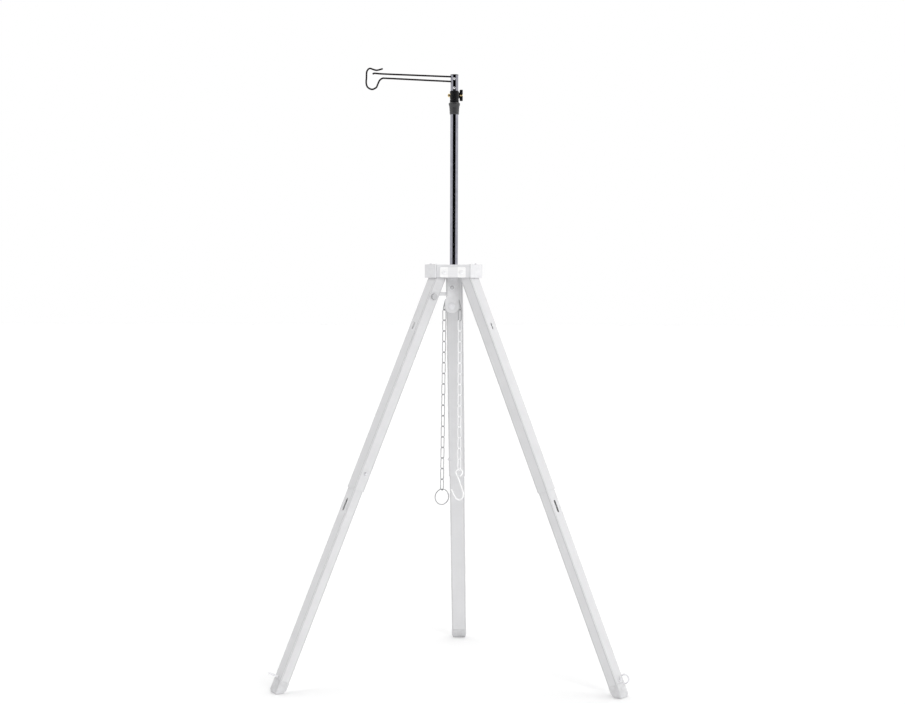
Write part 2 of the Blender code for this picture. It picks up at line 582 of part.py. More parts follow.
def clamp():
    """A split clamp on the inner tube, with its bolt, nut, knob and the knob's insert."""
    height = CLAMP_TOP - CLAMP_BOTTOM
    body = turned("clamp_body", (0, 0, CLAMP_BOTTOM), (0, 0, 1),
                  [(CLAMP_RADIUS - 0.8, 0), (CLAMP_RADIUS, 0.8), (CLAMP_RADIUS, height - 0.8),
                   (CLAMP_RADIUS - 0.8, height), (CLAMP_BORE, height), (CLAMP_BORE, 0)],
                  "black_plastic", sides=24, closed=True)
    ear = 9.4
    combine(body, box("clamp_ears", (-ear, 8.9, EAR_BOTTOM), (ear, 18.2, EAR_TOP), None), "UNION")
    combine(body, box("clamp_slit", (-1.0, 6.0, CLAMP_BOTTOM - 2), (1.0, 20.0, CLAMP_TOP + 2), None))
    axis = Vector((0, CLAMP_AXIS_Y, CLAMP_AXIS_Z))
    along = Vector((1, 0, 0))
    combine(body, turned("clamp_bolt_hole", axis - along * 15, along, [(2.2, 0), (2.2, 30)], None,
                         sides=12))
    turned("clamp_bolt", axis - along * 16.3, along,
           [(1.3, 0), (1.9, 0.6), (1.9, 34.6), (1.3, 35.2)], "brass", sides=12)
    nut_end, nut_length = -15.8, 6.0
    turned("clamp_nut", axis + along * nut_end, along,
           [(3.6, 0), (4.0, 0.4), (4.0, nut_length), (2.2, nut_length), (2.2, 0)], "brass",
           sides=6, closed=True)
    insert_start, insert_length = 9.8, 9.2
    turned("knob_insert", axis + along * insert_start, along,
           [(3.2, 0), (3.2, insert_length - 0.5), (2.8, insert_length), (2.2, insert_length),
            (2.2, 0)], "brass", sides=16, closed=True)
    wings = capsule(27.0, 9.0, 8)
    wing_rings = [[axis + along * x + Vector((0, scale * w, scale * h)) for h, w in wings]
                  for x, scale in ((12.0, 0.94), (13.2, 1.0), (18.0, 1.0), (19.3, 0.9))]
    knob = loft("clamp_knob", wing_rings, "black_plastic", axis + along * 12)
    combine(knob, turned("knob_base", axis + along * 10.2, along, [(7.0, 0), (7.0, 2.4)], None,
                         sides=24), "UNION")
    for side in (-1, 1):
        inner, outer = sorted((side * 2.9, side * 6.0))
        combine(knob, box(f"knob_waist_{'a' if side < 0 else 'b'}",
                          (12.6, CLAMP_AXIS_Y + inner, CLAMP_AXIS_Z - 4.2),
                          (22.0, CLAMP_AXIS_Y + outer, CLAMP_AXIS_Z + 4.2), None))
    combine(knob, turned("knob_hole_insert", axis + along * 8, along, [(3.5, 0), (3.5, 14)], None,
                         sides=16))


def head():
    """The head: a sleeve on the inner tube's top, its plug, cap and screws."""
    bore = SLEEVE_RADIUS - SLEEVE_WALL
    sleeve = pipe("head_sleeve", (0, 0, SLEEVE_BOTTOM), (0, 0, 1), SLEEVE_RADIUS, bore,
                  SLEEVE_TOP - SLEEVE_BOTTOM, "pole_anodised")
    plug_bottom = INNER_TOP + GAP
    plug = turned("head_plug", (0, 0, plug_bottom), (0, 0, 1),
                  [(bore - GAP, 0), (bore - GAP, SLEEVE_TOP - plug_bottom)], "black_plastic",
                  sides=24)
    turned("head_cap", (0, 0, SLEEVE_TOP + GAP), (0, 0, 1),
           [(9.6, 0), (9.6, 0.9), (9.0, HEAD_CAP_TOP - SLEEVE_TOP - GAP)], "black_plastic", sides=24)
    # The top screw holds the plug; the lower one only keeps the sleeve on, so the head can turn
    for name, z, tip in (("top", HEAD_SCREW_TOP_Z, 6.6), ("bottom", HEAD_SCREW_BOTTOM_Z, 2.4)):
        screw_hole = [(1.5, 0), (1.5, 9)]
        for target in (sleeve, plug) if name == "top" else (sleeve,):
            combine(target, turned(f"screw_hole_{name}_{target.name}", (0, -12, z), (0, 1, 0),
                                   screw_hole, None, sides=12))
        turned(f"head_screw_{name}", (0, -SLEEVE_RADIUS - 1.9, z), (0, 1, 0),
               [(1.4, 0), (2.5, 0.6), (2.9, 1.6), (1.2, 1.6), (1.2, tip)], "bright_steel",
               sides=12)
    return sleeve, plug


def arm(sleeve, plug):
    """The two arm wires: the lower one ends in the lantern hook, the upper one keeps it."""
    hook = [(2.0, 1401.5), (-8.6, 1402.1), (-87.0, 1406.1), (-160.0, 1409.8), (-170.0, 1409.6),
            (-176.6, 1405.0), (-181.0, 1396.0), (-184.6, 1388.4), (-194.4, 1383.9),
            (-204.6, 1388.6), (-208.3, 1398.0), (-207.8, 1412.0), (-207.0, 1425.6),
            (-200.8, 1433.0), (-191.5, 1430.6), (-184.3, 1428.8), (-177.5, 1430.0),
            (-169.0, 1432.4)]
    keeper = [(2.0, 1412.9), (-8.6, 1413.3), (-87.0, 1416.6), (-166.4, 1420.0), (-184.0, 1421.3),
              (-190.6, 1421.4), (-193.0, 1419.2)]
    for name, shape in (("hook_wire", hook), ("keeper_wire", keeper)):
        path = smooth_path([(x, 0.0, z) for x, z in shape], 2)
        rod(name, path, ARM_WIRE_RADIUS, "black_wire", (0, 0, shape[0][1]), sides=8)
        start, end = path[0], path[4]
        along = (end - start).normalized()
        for target, label in ((sleeve, "sleeve"), (plug, "plug")):
            combine(target, turned(f"{name}_hole_{label}", start - along * 0.6, along,
                                   [(ARM_WIRE_RADIUS + GAP, 0), (ARM_WIRE_RADIUS + GAP, 16)], None,
                                   sides=16))


# ---------------------------------------------------------------- assembly

def main():
    for item in list(bpy.data.objects):
        bpy.data.objects.remove(item, do_unlink=True)
    hub()
    badge()
    for name, azimuth in LEG_AZIMUTH.items():
        corner_block(name, azimuth)
        leg = Leg(name, azimuth)
        tube = upper_tube(leg)
        lower_tube(leg)
        snap_button(leg)
        foot(leg)
        eye_bolt(leg, across_leg=name != "right")
        if name == "left":
            leg_knob(leg, tube)
    yoke()
    pulley()
    chains()
    pole()
    collar()
    clamp()
    arm(*head())


main()
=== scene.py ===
"""Looks for the camp lantern stand: fine meshes, materials, light and camera.

Lengths are in millimetres from the pole's axis and the floor unless a name says otherwise.
Each fine piece stands for the CAD node it is named after, and rides on that node's body.
Three pivot pins, the pole's foot and the head plug keep their CAD mesh and get a material.
"""
import json
from math import atan2, cos, hypot, pi, radians, sin, tan

import bmesh
import bpy
from mathutils import Matrix, Vector


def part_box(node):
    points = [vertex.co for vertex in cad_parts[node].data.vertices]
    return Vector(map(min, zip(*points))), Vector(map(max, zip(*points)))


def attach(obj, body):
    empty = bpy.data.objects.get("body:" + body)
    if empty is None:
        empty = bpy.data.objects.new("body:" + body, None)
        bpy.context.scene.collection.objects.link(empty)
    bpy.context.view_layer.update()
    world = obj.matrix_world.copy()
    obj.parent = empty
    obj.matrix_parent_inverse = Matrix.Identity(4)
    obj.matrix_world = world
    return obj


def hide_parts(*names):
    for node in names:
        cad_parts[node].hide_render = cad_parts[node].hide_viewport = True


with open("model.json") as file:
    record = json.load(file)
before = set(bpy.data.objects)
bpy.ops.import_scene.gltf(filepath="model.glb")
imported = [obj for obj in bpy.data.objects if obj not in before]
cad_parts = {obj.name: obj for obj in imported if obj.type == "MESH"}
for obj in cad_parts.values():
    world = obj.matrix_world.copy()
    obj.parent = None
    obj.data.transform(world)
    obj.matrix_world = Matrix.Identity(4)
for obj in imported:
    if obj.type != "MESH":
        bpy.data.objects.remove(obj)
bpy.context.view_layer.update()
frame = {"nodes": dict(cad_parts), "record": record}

MM = 0.001
RECORD = frame["record"]
BODY_OF = {node: body for body, nodes in RECORD["behaviour"]["bodies"].items() for node in nodes}
SLOT_OF = {part["node"]: part["material_slot"] for part in RECORD["subparts"]}
JOINT = {joint["name"]: joint for joint in RECORD["behaviour"]["joints"]}
AXIS_X = Vector((1, 0, 0))
AXIS_Y = Vector((0, 1, 0))
AXIS_Z = Vector((0, 0, 1))

pole_low, pole_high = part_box("pole_tube")
POLE = Vector(((pole_low.x + pole_high.x) / 2, (pole_low.y + pole_high.y) / 2, 0)) / MM


def limits(node):
    """A CAD node's lowest and highest corner, from the pole's axis and the floor."""
    low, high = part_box(node)
    return low / MM - POLE, high / MM - POLE


def middle(node):
    low, high = limits(node)
    return (low + high) / 2


GAP = 0.3                       # clearance between pieces that sit in each other
UPPER_WIDTH, UPPER_DEPTH = 40.0, 26.0
LOWER_WIDTH, LOWER_DEPTH = 37.0, 23.0


# -------- materials

class Graph:
    """A short way to write the nodes of a new material, or of the world."""

    def __init__(self, name, world=False):
        self.owner = (bpy.data.worlds if world else bpy.data.materials).new(name)
        self.owner.use_nodes = True
        self.tree = self.owner.node_tree
        self.shader = self.tree.nodes["Background" if world else "Principled BSDF"]
        self.coords = self.node("ShaderNodeTexCoord").outputs["Generated" if world else "Object"]

    def node(self, kind, **settings):
        """A new node with inputs or properties set by name."""
        made = self.tree.nodes.new(kind)
        for key, value in settings.items():
            if key in made.inputs:
                made.inputs[key].default_value = value
            else:
                setattr(made, key, value)
        return made

    def link(self, source, target):
        self.tree.links.new(source, target)

    def stretched(self, scale):
        """Object coordinates scaled by (x, y, z)."""
        mapping = self.node("ShaderNodeMapping", Scale=scale)
        self.link(self.coords, mapping.inputs["Vector"])
        return mapping.outputs["Vector"]

    def xyz(self):
        """The coordinates, one output for each axis."""
        split = self.node("ShaderNodeSeparateXYZ")
        self.link(self.coords, split.inputs[0])
        return split.outputs

    def noise(self, scale, detail=4.0, rough=0.55, coords=None):
        made = self.node("ShaderNodeTexNoise", Scale=scale, Detail=detail, Roughness=rough)
        self.link(coords or self.coords, made.inputs["Vector"])
        return made.outputs["Fac"]

    def ramp(self, source, low, high, out_low=0.0, out_high=1.0):
        made = self.node("ShaderNodeMapRange", **{"From Min": low, "From Max": high,
                                                  "To Min": out_low, "To Max": out_high})
        self.link(source, made.inputs["Value"])
        return made.outputs["Result"]

    def mix(self, factor, first, second):
        """Colours first and second, each a colour or an output, mixed by a factor."""
        made = self.node("ShaderNodeMix", data_type="RGBA")
        self.link(factor, made.inputs[0])
        for socket, value in ((made.inputs[6], first), (made.inputs[7], second)):
            if isinstance(value, tuple):
                socket.default_value = (*value, 1.0)
            else:
                self.link(value, socket)
        return made.outputs[2]

    def maths(self, operation, first, second=0.0):
        made = self.node("ShaderNodeMath", operation=operation)
        for socket, value in zip(made.inputs, (first, second)):
            if isinstance(value, (int, float)):
                socket.default_value = value
            else:
                self.link(value, socket)
        return made.outputs[0]

    def vector(self, operation, first, second=(0, 0, 0)):
        made = self.node("ShaderNodeVectorMath", operation=operation)
        self.link(first, made.inputs[0])
        made.inputs[1].default_value = second
        return made.outputs

    def edges(self, low=0.515, high=0.56):
        """1 on sharp outer edges, 0 on flats."""
        return self.ramp(self.node("ShaderNodeNewGeometry").outputs["Pointiness"], low, high)

    def finish(self, colour, rough=None, height=None, depth=0.0, **settings):
        """The finished material; depth is its bump's, in millimetres.

        Settings are the shader's own inputs, named with _ for each space.
        """
        self.link(colour, self.shader.inputs["Base Color"])
        if rough is not None:
            self.link(rough, self.shader.inputs["Roughness"])
        if height is not None:
            bump = self.node("ShaderNodeBump", Distance=depth * MM, Strength=1.0)
            self.link(height, bump.inputs["Height"])
            self.link(bump.outputs["Normal"], self.shader.inputs["Normal"])
        for key, value in settings.items():
            self.shader.inputs[key.replace("_", " ")].default_value = value
        return self.owner


def shade(tone, factor):
    return tuple(min(1.0, c * factor) for c in tone)


def metal(name, tone, roughness, metallic, streak=None, grain=0.015, edge_wear_and_shade=1.08, coat=0.0,
          specular=0.5):
    """A metal or painted metal: cloudy tone, fine grain, patchy edges (lighter as wear, darker as
    painted shade) and, if asked, streaks.

    streak gives the object axis that brushing or extrusion lines run along.
    """
    g = Graph(name)
    clouds = g.noise(38.0)
    if streak is None:
        fine = g.noise(900.0, 3.0)
    else:
        scale = tuple(6.0 if axis == streak else 1500.0 for axis in "xyz")
        fine = g.noise(1.0, 5.0, 0.65, g.stretched(scale))
    colour = g.mix(g.ramp(clouds, 0.35, 0.65), shade(tone, 0.955), shade(tone, 1.03))
    colour = g.mix(g.ramp(fine, 0.35, 0.75, 0.0, 0.35), colour, shade(tone, 0.87))
    # Patchy edges: a factor above 1 lightens them as wear; below 1, on the pale pieces, it darkens
    # them as painted edge shade.
    scuffs_and_edge_shade = g.ramp(g.noise(120.0, 6.0, 0.7), 0.42, 0.6)
    colour = g.mix(g.maths("MULTIPLY", g.edges(), scuffs_and_edge_shade), colour, shade(tone, edge_wear_and_shade))
    rough = g.ramp(fine, 0.2, 0.8, roughness * 0.82, min(1.0, roughness * 1.22))
    return g.finish(colour, rough, fine, grain, Metallic=metallic, Specular_IOR_Level=specular,
                    Coat_Weight=coat, Coat_Roughness=0.12)


def moulded(name, tone, roughness, depth, edge_wear_and_shade, specular=0.5):
    """Moulded plastic or rubber with a fine spark-eroded texture and patchy edges (lighter as
    rubbed wear, darker as painted shade).
    """
    texture = 260.0
    g = Graph(name)
    pores = g.node("ShaderNodeTexVoronoi", Scale=texture * 5)
    g.link(g.coords, pores.inputs["Vector"])
    grainy = g.noise(texture * 4, 4.0, 0.6)
    colour = g.mix(g.ramp(g.noise(60.0), 0.3, 0.7), shade(tone, 0.85), shade(tone, 1.12))
    # Patchy edges: a factor above 1 lightens them as rubbed wear; below 1, on the pale plastic, it
    # darkens them as painted edge shade.
    rubbed_and_shaded_edges = g.maths("MULTIPLY", g.edges(0.52, 0.6), g.ramp(grainy, 0.4, 0.65))
    colour = g.mix(rubbed_and_shaded_edges, colour, shade(tone, edge_wear_and_shade))
    rough = g.ramp(grainy, 0.25, 0.75, roughness * 0.85, min(1.0, roughness * 1.15))
    height = g.maths("ADD", grainy, pores.outputs["Distance"])
    return g.finish(colour, rough, height, depth, Specular_IOR_Level=specular)


def leg_paint(name, half_depth, half_width):
    """Satin pale grey over extruded tube, with die lines down it, painted shade on its corners and
    painted light on its inside walls.

    half_depth and half_width are the tube's half sizes in millimetres.
    """
    g = Graph(name)
    tone, painted_light_inner_tone = (0.68, 0.68, 0.69), (0.95, 0.95, 0.95)
    lines = g.noise(1.0, 5.0, 0.7, g.stretched((900.0, 900.0, 3.0)))
    clouds = g.noise(14.0, 5.0)
    colour = g.mix(g.ramp(clouds, 0.35, 0.65), shade(tone, 0.965), shade(tone, 1.02))
    colour = g.mix(g.ramp(lines, 0.4, 0.72, 0.0, 0.3), colour, shade(tone, 0.9))
    from_axis = [g.maths("ABSOLUTE", place) for place in g.xyz()[:2]]
    corner = (half_depth + half_width) * MM
    # Painted shade: the tube's rounded corners are coloured darker, like edge lines in shade.
    painted_corner_shade = g.ramp(g.maths("ADD", *from_axis), corner - 3.8 * MM, corner - 2.8 * MM)
    colour = g.mix(painted_corner_shade, colour, shade(tone, 0.82))
    scratches = g.noise(1.0, 2.0, 0.5, g.stretched((160.0, 1400.0, 26.0)))
    colour = g.mix(g.ramp(scratches, 0.70, 0.76, 0.0, 0.5), colour, shade(tone, 1.12))
    # Painted light: the tube's inner walls are coloured near white, so slots and open ends look
    # lit inside.
    inside = g.maths("MULTIPLY", *[g.ramp(away, (half - 0.4) * MM, (half - 0.6) * MM)
                                   for away, half in zip(from_axis, (half_depth, half_width))])
    colour = g.mix(inside, colour, painted_light_inner_tone)
    return g.finish(colour, g.ramp(lines, 0.25, 0.75, 0.42, 0.58), lines, 0.02, Metallic=0.12,
                    Coat_Weight=0.10, Coat_Roughness=0.25)


RULE_PITCH = 4.2                # of the fine rules across the badge's field


def badge_steel():
    """Bright brushed plate whose sunk middle field is coloured a plain matt grey, with fine rules.
    """
    g = Graph("badge_steel")
    brushed = g.noise(1.0, 5.0, 0.7, g.stretched((25.0, 1600.0, 1600.0)))
    bright, field = (0.97, 0.97, 0.97), (0.83, 0.83, 0.84)
    across, _, up = g.xyz()
    in_field = g.ramp(g.maths("ABSOLUTE", across), 11.6 * MM, 11.2 * MM)
    row = g.maths("MULTIPLY", up, 1 / (RULE_PITCH * MM))
    off_rule = g.maths("ABSOLUTE", g.maths("SUBTRACT", g.maths("FRACT", row), 0.5))
    rules = g.ramp(off_rule, 0.08, 0.05, 0.0, 0.5)
    steel = g.mix(g.ramp(brushed, 0.3, 0.75), shade(bright, 0.93), shade(bright, 1.03))
    # The sunk middle field is coloured a flat grey, darker than the steel around it, with fine
    # rules across it.
    grey_field_colour = g.mix(rules, field, shade(field, 0.90))
    return g.finish(g.mix(in_field, steel, grey_field_colour), g.ramp(brushed, 0.2, 0.8, 0.24, 0.42),
                    brushed, 0.015, Metallic=0.1)


def finishes():
    """One material for each of the record's slots."""
    return {
        "leg_metal": leg_paint("leg_metal", UPPER_DEPTH / 2, UPPER_WIDTH / 2),
        "hub_cast": metal("hub_cast", (0.77, 0.77, 0.785), 0.46, 0.12, grain=0.03, edge_wear_and_shade=0.93,
                          coat=0.1),
        "badge_steel": badge_steel(),
        "grey_plastic": moulded("grey_plastic", (0.63, 0.63, 0.64), 0.6, depth=0.03, edge_wear_and_shade=0.9),
        "zinc_steel": metal("zinc_steel", (0.78, 0.78, 0.80), 0.34, 0.12),
        "bright_steel": metal("bright_steel", (0.80, 0.80, 0.82), 0.22, 0.7),
        "yoke_paint": metal("yoke_paint", (0.78, 0.78, 0.79), 0.45, 0.12, grain=0.05, edge_wear_and_shade=0.85),
        "chain_steel": metal("chain_steel", (0.40, 0.40, 0.41), 0.30, 0.35),
        "hook_steel": metal("hook_steel", (0.98, 0.98, 0.98), 0.25, 0.0, edge_wear_and_shade=1.0),
        "pole_metal": metal("pole_metal", (0.33, 0.33, 0.375), 0.08, 1.0, "z", 0.0, 1.2),
        "grip_rubber": moulded("grip_rubber", (0.016, 0.016, 0.018), 0.36, depth=0.006, edge_wear_and_shade=1.3,
                               specular=0.75),
        "brass": metal("brass", (0.78, 0.60, 0.30), 0.28, 0.9, edge_wear_and_shade=1.15),
        "black_wire": metal("black_wire", (0.006, 0.004, 0.005), 0.45, 0.0, None, 0.0, 1.5,
                            specular=0.15),
        "black_plastic": moulded("black_plastic", (0.004, 0.004, 0.005), 0.40, depth=0.006,
                                 edge_wear_and_shade=1.5, specular=0.2),
    }


FINISH = finishes()
LOWER_PAINT = leg_paint("leg_metal_lower", LOWER_DEPTH / 2, LOWER_WIDTH / 2)
# Painted highlight: a near-white copy of the chain's steel, for the hook side's run, which looks
# lit against the rear leg.
HOOK_CHAIN_HIGHLIGHT_STEEL = metal("chain_steel_polished", (0.96, 0.96, 0.97), 0.28, 0.0, edge_wear_and_shade=1.0)
KNOB_PLASTIC = moulded("grey_plastic_knob", (0.50, 0.50, 0.51), 0.6, depth=0.02, edge_wear_and_shade=0.9)
SCREW_STEEL = metal("badge_screw_steel", (0.95, 0.95, 0.96), 0.30, 0.1, edge_wear_and_shade=0.85)


# -------- mesh tools

def frame_of(origin, along, out):
    """A matrix whose z runs along and whose x leans to out, at a point, in millimetres."""
    z = Vector(along).normalized()
    y = z.cross(Vector(out)).normalized()
    turn = Matrix((y.cross(z), y, z)).transposed().to_4x4()
    return Matrix.Translation(Vector(origin)) @ turn


def upright(origin):
    return Matrix.Translation(Vector(origin))


def add_object(name, data):
    made = bpy.data.objects.new(name, data)
    bpy.context.scene.collection.objects.link(made)
    return made


def mesh_object(name, bm, place):
    """An object whose origin and axes are a place's, from a mesh drawn in the script's frame."""
    bmesh.ops.recalc_face_normals(bm, faces=bm.faces)
    bm.transform(Matrix.Scale(MM, 4) @ place.inverted())
    mesh = bpy.data.meshes.new(name)
    bm.to_mesh(mesh)
    bm.free()
    made = add_object(name, mesh)
    turn = place.to_3x3().to_4x4()
    made.matrix_world = Matrix.Translation((place.translation + POLE) * MM) @ turn
    return made


def add_loft(bm, rings, closed=False):
    """Skin rings of points. A closed loft joins its last ring to its first."""
    count = len(rings[0])
    verts = [[bm.verts.new(p) for p in ring] for ring in rings]
    for low, high in zip(verts, verts[1:] + verts[:1] if closed else verts[1:]):
        for i in range(count):
            j = (i + 1) % count
            bm.faces.new((low[i], low[j], high[j], high[i]))
    if not closed:
        bm.faces.new(verts[0][::-1])
        bm.faces.new(verts[-1])


def loft(name, rings, place, closed=False):
    bm = bmesh.new()
    add_loft(bm, rings, closed)
    return mesh_object(name, bm, place)


def circle(centre, axis, radius, sides):
    axis = Vector(axis).normalized()
    helper = AXIS_Z if abs(axis.z) < 0.9 else AXIS_X
    first = axis.cross(helper).normalized()
    second = axis.cross(first)
    turns = [2 * pi * (i + 0.5) / sides for i in range(sides)]
    return [Vector(centre) + radius * (cos(t) * first + sin(t) * second) for t in turns]


def turned(name, base, axis, profile, sides=48, closed=False):
    """A turned piece: profile holds (radius, distance along the axis from the base)."""
    axis = Vector(axis).normalized()
    rings = [circle(Vector(base) + axis * along, axis, radius, sides) for radius, along in profile]
    helper = AXIS_X if abs(axis.x) < 0.9 else AXIS_Z
    return loft(name, rings, frame_of(base, axis, helper), closed)


def drill(base, axis, radius, length, sides=24):
    """A cutter for a round hole."""
    return turned("hole", base, axis, [(radius, 0), (radius, length)], sides)


def box(name, low, high, place=None):
    """A box between two corners, drawn in a place's own axes."""
    place = place or Matrix.Identity(4)
    (x0, y0, z0), (x1, y1, z1) = low, high
    rings = [[place @ Vector(p) for p in ((x0, y0, z), (x1, y0, z), (x1, y1, z), (x0, y1, z))]
             for z in (z0, z1)]
    return loft(name, rings, place)


def dome(radius, start, rise, angles):
    """A domed head's profile for turned, at angles in degrees from the rim to the crown."""
    return [(radius * cos(radians(t)), start + rise * sin(radians(t))) for t in angles]


def arc(centre, radius, start, end, steps):
    """Points (u, v) on an arc between two angles in degrees, both ends included."""
    turns = [radians(start + (end - start) * k / steps) for k in range(steps + 1)]
    return [(centre[0] + radius * cos(t), centre[1] + radius * sin(t)) for t in turns]


def rounded_rectangle(width, height, radius, steps=8):
    """Outline (along height, along width), centred on zero."""
    outline = []
    for turn, (h, w) in enumerate(((1, 1), (-1, 1), (-1, -1), (1, -1))):
        outline += arc((h * (height / 2 - radius), w * (width / 2 - radius)), radius,
                       90 * turn, 90 * turn + 90, steps)
    return outline


def capsule(length, width, steps=12):
    """A slot's outline (along, across), centred on zero."""
    reach = (length - width) / 2
    return arc((reach, 0), width / 2, -90, 90, steps) + arc((-reach, 0), width / 2, 90, 270, steps)


def smooth_path(points, steps):
    """Points on a smooth curve through the given ones."""
    points = [Vector(p) for p in points]
    ends = [2 * points[0] - points[1]] + points + [2 * points[-1] - points[-2]]
    path = []
    for a, b, c, d in zip(ends, ends[1:], ends[2:], ends[3:]):
        for k in range(steps):
            t = k / steps
            path.append(0.5 * (2 * b + (c - a) * t + (2 * a - 5 * b + 4 * c - d) * t * t
                               + (3 * b - a - 3 * c + d) * t ** 3))
    return path + [points[-1]]


def add_rod(bm, path, radius, sides=16, closed=False):
    """A round rod along a path. An open one has rounded ends inside the path's length."""
    count = len(path)
    rings, side = [], None
    for i, point in enumerate(path):
        before = path[i - 1] if closed or i else point
        after = path[(i + 1) % count] if closed or i < count - 1 else point
        along = (after - before).normalized()
        side = along.orthogonal().normalized() if side is None else side
        side = (side - along * side.dot(along)).normalized()
        rings.append((point, along, side, along.cross(side)))
    spots = [(p, s, o, 1.0) for p, _, s, o in rings]
    if not closed:
        ease = ((0.0, 0.35), (0.12, 0.7), (0.35, 0.93))
        (p, a, s, o), (q, b, u, v) = rings[0], rings[-1]
        spots = ([(p + a * radius * t, s, o, r) for t, r in ease] + spots[1:-1]
                 + [(q - b * radius * t, u, v, r) for t, r in ease[::-1]])
    turns = [2 * pi * k / sides for k in range(sides)]
    add_loft(bm, [[p + radius * r * (cos(t) * s + sin(t) * o) for t in turns]
                  for p, s, o, r in spots], closed)


def rod(name, path, radius, place, sides=16, closed=False):
    bm = bmesh.new()
    add_rod(bm, path, radius, sides, closed)
    return mesh_object(name, bm, place)


def carve(target, *tools, operation="DIFFERENCE"):
    """Cut the tools from the target, or add them, and throw the tools away."""
    for tool in tools:
        modifier = target.modifiers.new("carve", "BOOLEAN")
        modifier.operation, modifier.solver, modifier.object = operation, "EXACT", tool
    bpy.context.view_layer.update()
    graph = bpy.context.evaluated_depsgraph_get()
    mesh = bpy.data.meshes.new_from_object(target.evaluated_get(graph))
    target.modifiers.clear()
    old, target.data = target.data, mesh
    bpy.data.meshes.remove(old)
    for tool in tools:
        bpy.data.objects.remove(tool, do_unlink=True)


def done(piece, *nodes, edge=0.3, segments=3, sharp=32.0, look=None):
    """Round a piece's edges, give it a look or its slot's, and let it stand for its nodes."""
    mesh = piece.data
    mesh.shade_smooth()
    mesh.set_sharp_from_angle(angle=radians(sharp))
    if edge:
        bevel = piece.modifiers.new("edges", "BEVEL")
        bevel.width, bevel.segments = edge * MM, segments
        bevel.limit_method, bevel.angle_limit = "ANGLE", radians(sharp)
        bevel.use_clamp_overlap = bevel.harden_normals = True
    slot = SLOT_OF[nodes[0]]
    mesh.materials.clear()
    mesh.materials.append(look or FINISH[slot])
    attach(piece, BODY_OF[nodes[0]])
    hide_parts(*nodes)


def cross_recess(centre, axis, size, depth):
    """Cutters for a cross recess sunk into a screw's face."""
    place = frame_of(centre, axis, AXIS_X if abs(Vector(axis).x) < 0.9 else AXIS_Y)
    wide, narrow = size, size * 0.24
    return [box("recess", (-a, -b, -depth), (a, b, depth), place)
            for a, b in ((wide, narrow), (narrow, wide))]


# -------- hub

LEG_AZIMUTH = {"left": 210.0, "right": 330.0, "rear": 90.0}
HUB_CORNER_FACE, HUB_LONG_FACE = 59.0, 52.8     # from the pole's axis
POCKET_INNER, POCKET_TOP, POCKET_WIDTH = 21.5, 966.6, 40.8
SOCKET_FLOOR, SOCKET_RADIUS, SOCKET_MOUTH = 944.0, 9.8, 11.4
PIVOT_RADIUS, PIN_HEIGHT, PIN_HOLE = 38.5, 952.0, 4.3
SPLAY = radians(23.2)
BLOCK_FOOT, BLOCK_BEND = 940.0, 951.8           # the sloping stop ends at the bend
BADGE_SCREW_X, BADGE_SCREW_HEIGHT, BADGE_SCREW_HOLE = 20.2, 952.0, 1.8
YOKE_SCREW_HOLE = 2.3
ROUND_HEAD = (0, 15, 30, 45, 60, 75, 88)


def radial(azimuth, radius, sideways, z):
    """A point at a leg's azimuth: distance out, distance sideways, height."""
    angle = radians(azimuth)
    out = Vector((cos(angle), sin(angle), 0))
    side = Vector((-sin(angle), cos(angle), 0))
    return out * radius + side * sideways + AXIS_Z * z


def azimuth_frame(azimuth):
    return Matrix.Rotation(radians(azimuth), 4, "Z")


def repaint(node, slot):
    """Give a CAD node that keeps its own mesh the material of a slot."""
    materials = frame["nodes"][node].data.materials
    materials.clear()
    materials.append(FINISH[slot])


def hub():
    """The cast hub: three leg pockets, the pole's socket, core pockets and screw holes."""
    low, high = limits("hub_body")
    half_corner = (HUB_LONG_FACE - HUB_CORNER_FACE * 0.5) / cos(radians(30))
    outline = []
    for azimuth in sorted(LEG_AZIMUTH.values()):
        outline.append(radial(azimuth, HUB_CORNER_FACE, -half_corner, 0))
        outline.append(radial(azimuth, HUB_CORNER_FACE, half_corner, 0))
    body = loft("hub_body_full", [[p + AXIS_Z * z for p in outline] for z in (low.z, high.z)],
                upright((0, 0, low.z)))
    depth = high.z - SOCKET_FLOOR
    cutters = [turned("socket", (0, 0, SOCKET_FLOOR), AXIS_Z,
                      [(SOCKET_RADIUS, 0), (SOCKET_RADIUS, depth - 1.2),
                       (SOCKET_MOUTH, depth + 0.4), (SOCKET_MOUTH, 40)]),
               drill((-4, 13, low.z - 1), AXIS_Z, YOKE_SCREW_HOLE, 9)]
    for leg, azimuth in LEG_AZIMUTH.items():
        place = azimuth_frame(azimuth)
        cutters.append(box("pocket", (POCKET_INNER, -POCKET_WIDTH / 2, low.z - 2),
                           (HUB_CORNER_FACE + 2, POCKET_WIDTH / 2, POCKET_TOP), place))
        way_in = -1 if leg == "left" else 1
        start = radial(azimuth, PIVOT_RADIUS, -way_in * 28.5, PIN_HEIGHT)
        cutters.append(drill(start, radial(azimuth, 0, way_in, 0), PIN_HOLE, 75, 32))
    # Core pockets that lighten the casting, cut from below between the legs
    for azimuth in (30.0, 150.0, 270.0):
        ring = [[azimuth_frame(azimuth) @ Vector((36.0 + u, v, z))
                 for u, v in rounded_rectangle(30.0, 15.0, 4.0)] for z in (low.z - 1, low.z + 7)]
        cutters.append(loft("core_pocket", ring, upright((0, 0, low.z))))
    for x in (-BADGE_SCREW_X, BADGE_SCREW_X):
        cutters.append(drill((x, -HUB_LONG_FACE - 1, BADGE_SCREW_HEIGHT), AXIS_Y,
                             BADGE_SCREW_HOLE, 5))
    carve(body, *cutters)
    done(body, "hub_body", edge=0.9)
    for leg in LEG_AZIMUTH:
        repaint(f"pivot_pin_{leg}", "zinc_steel")


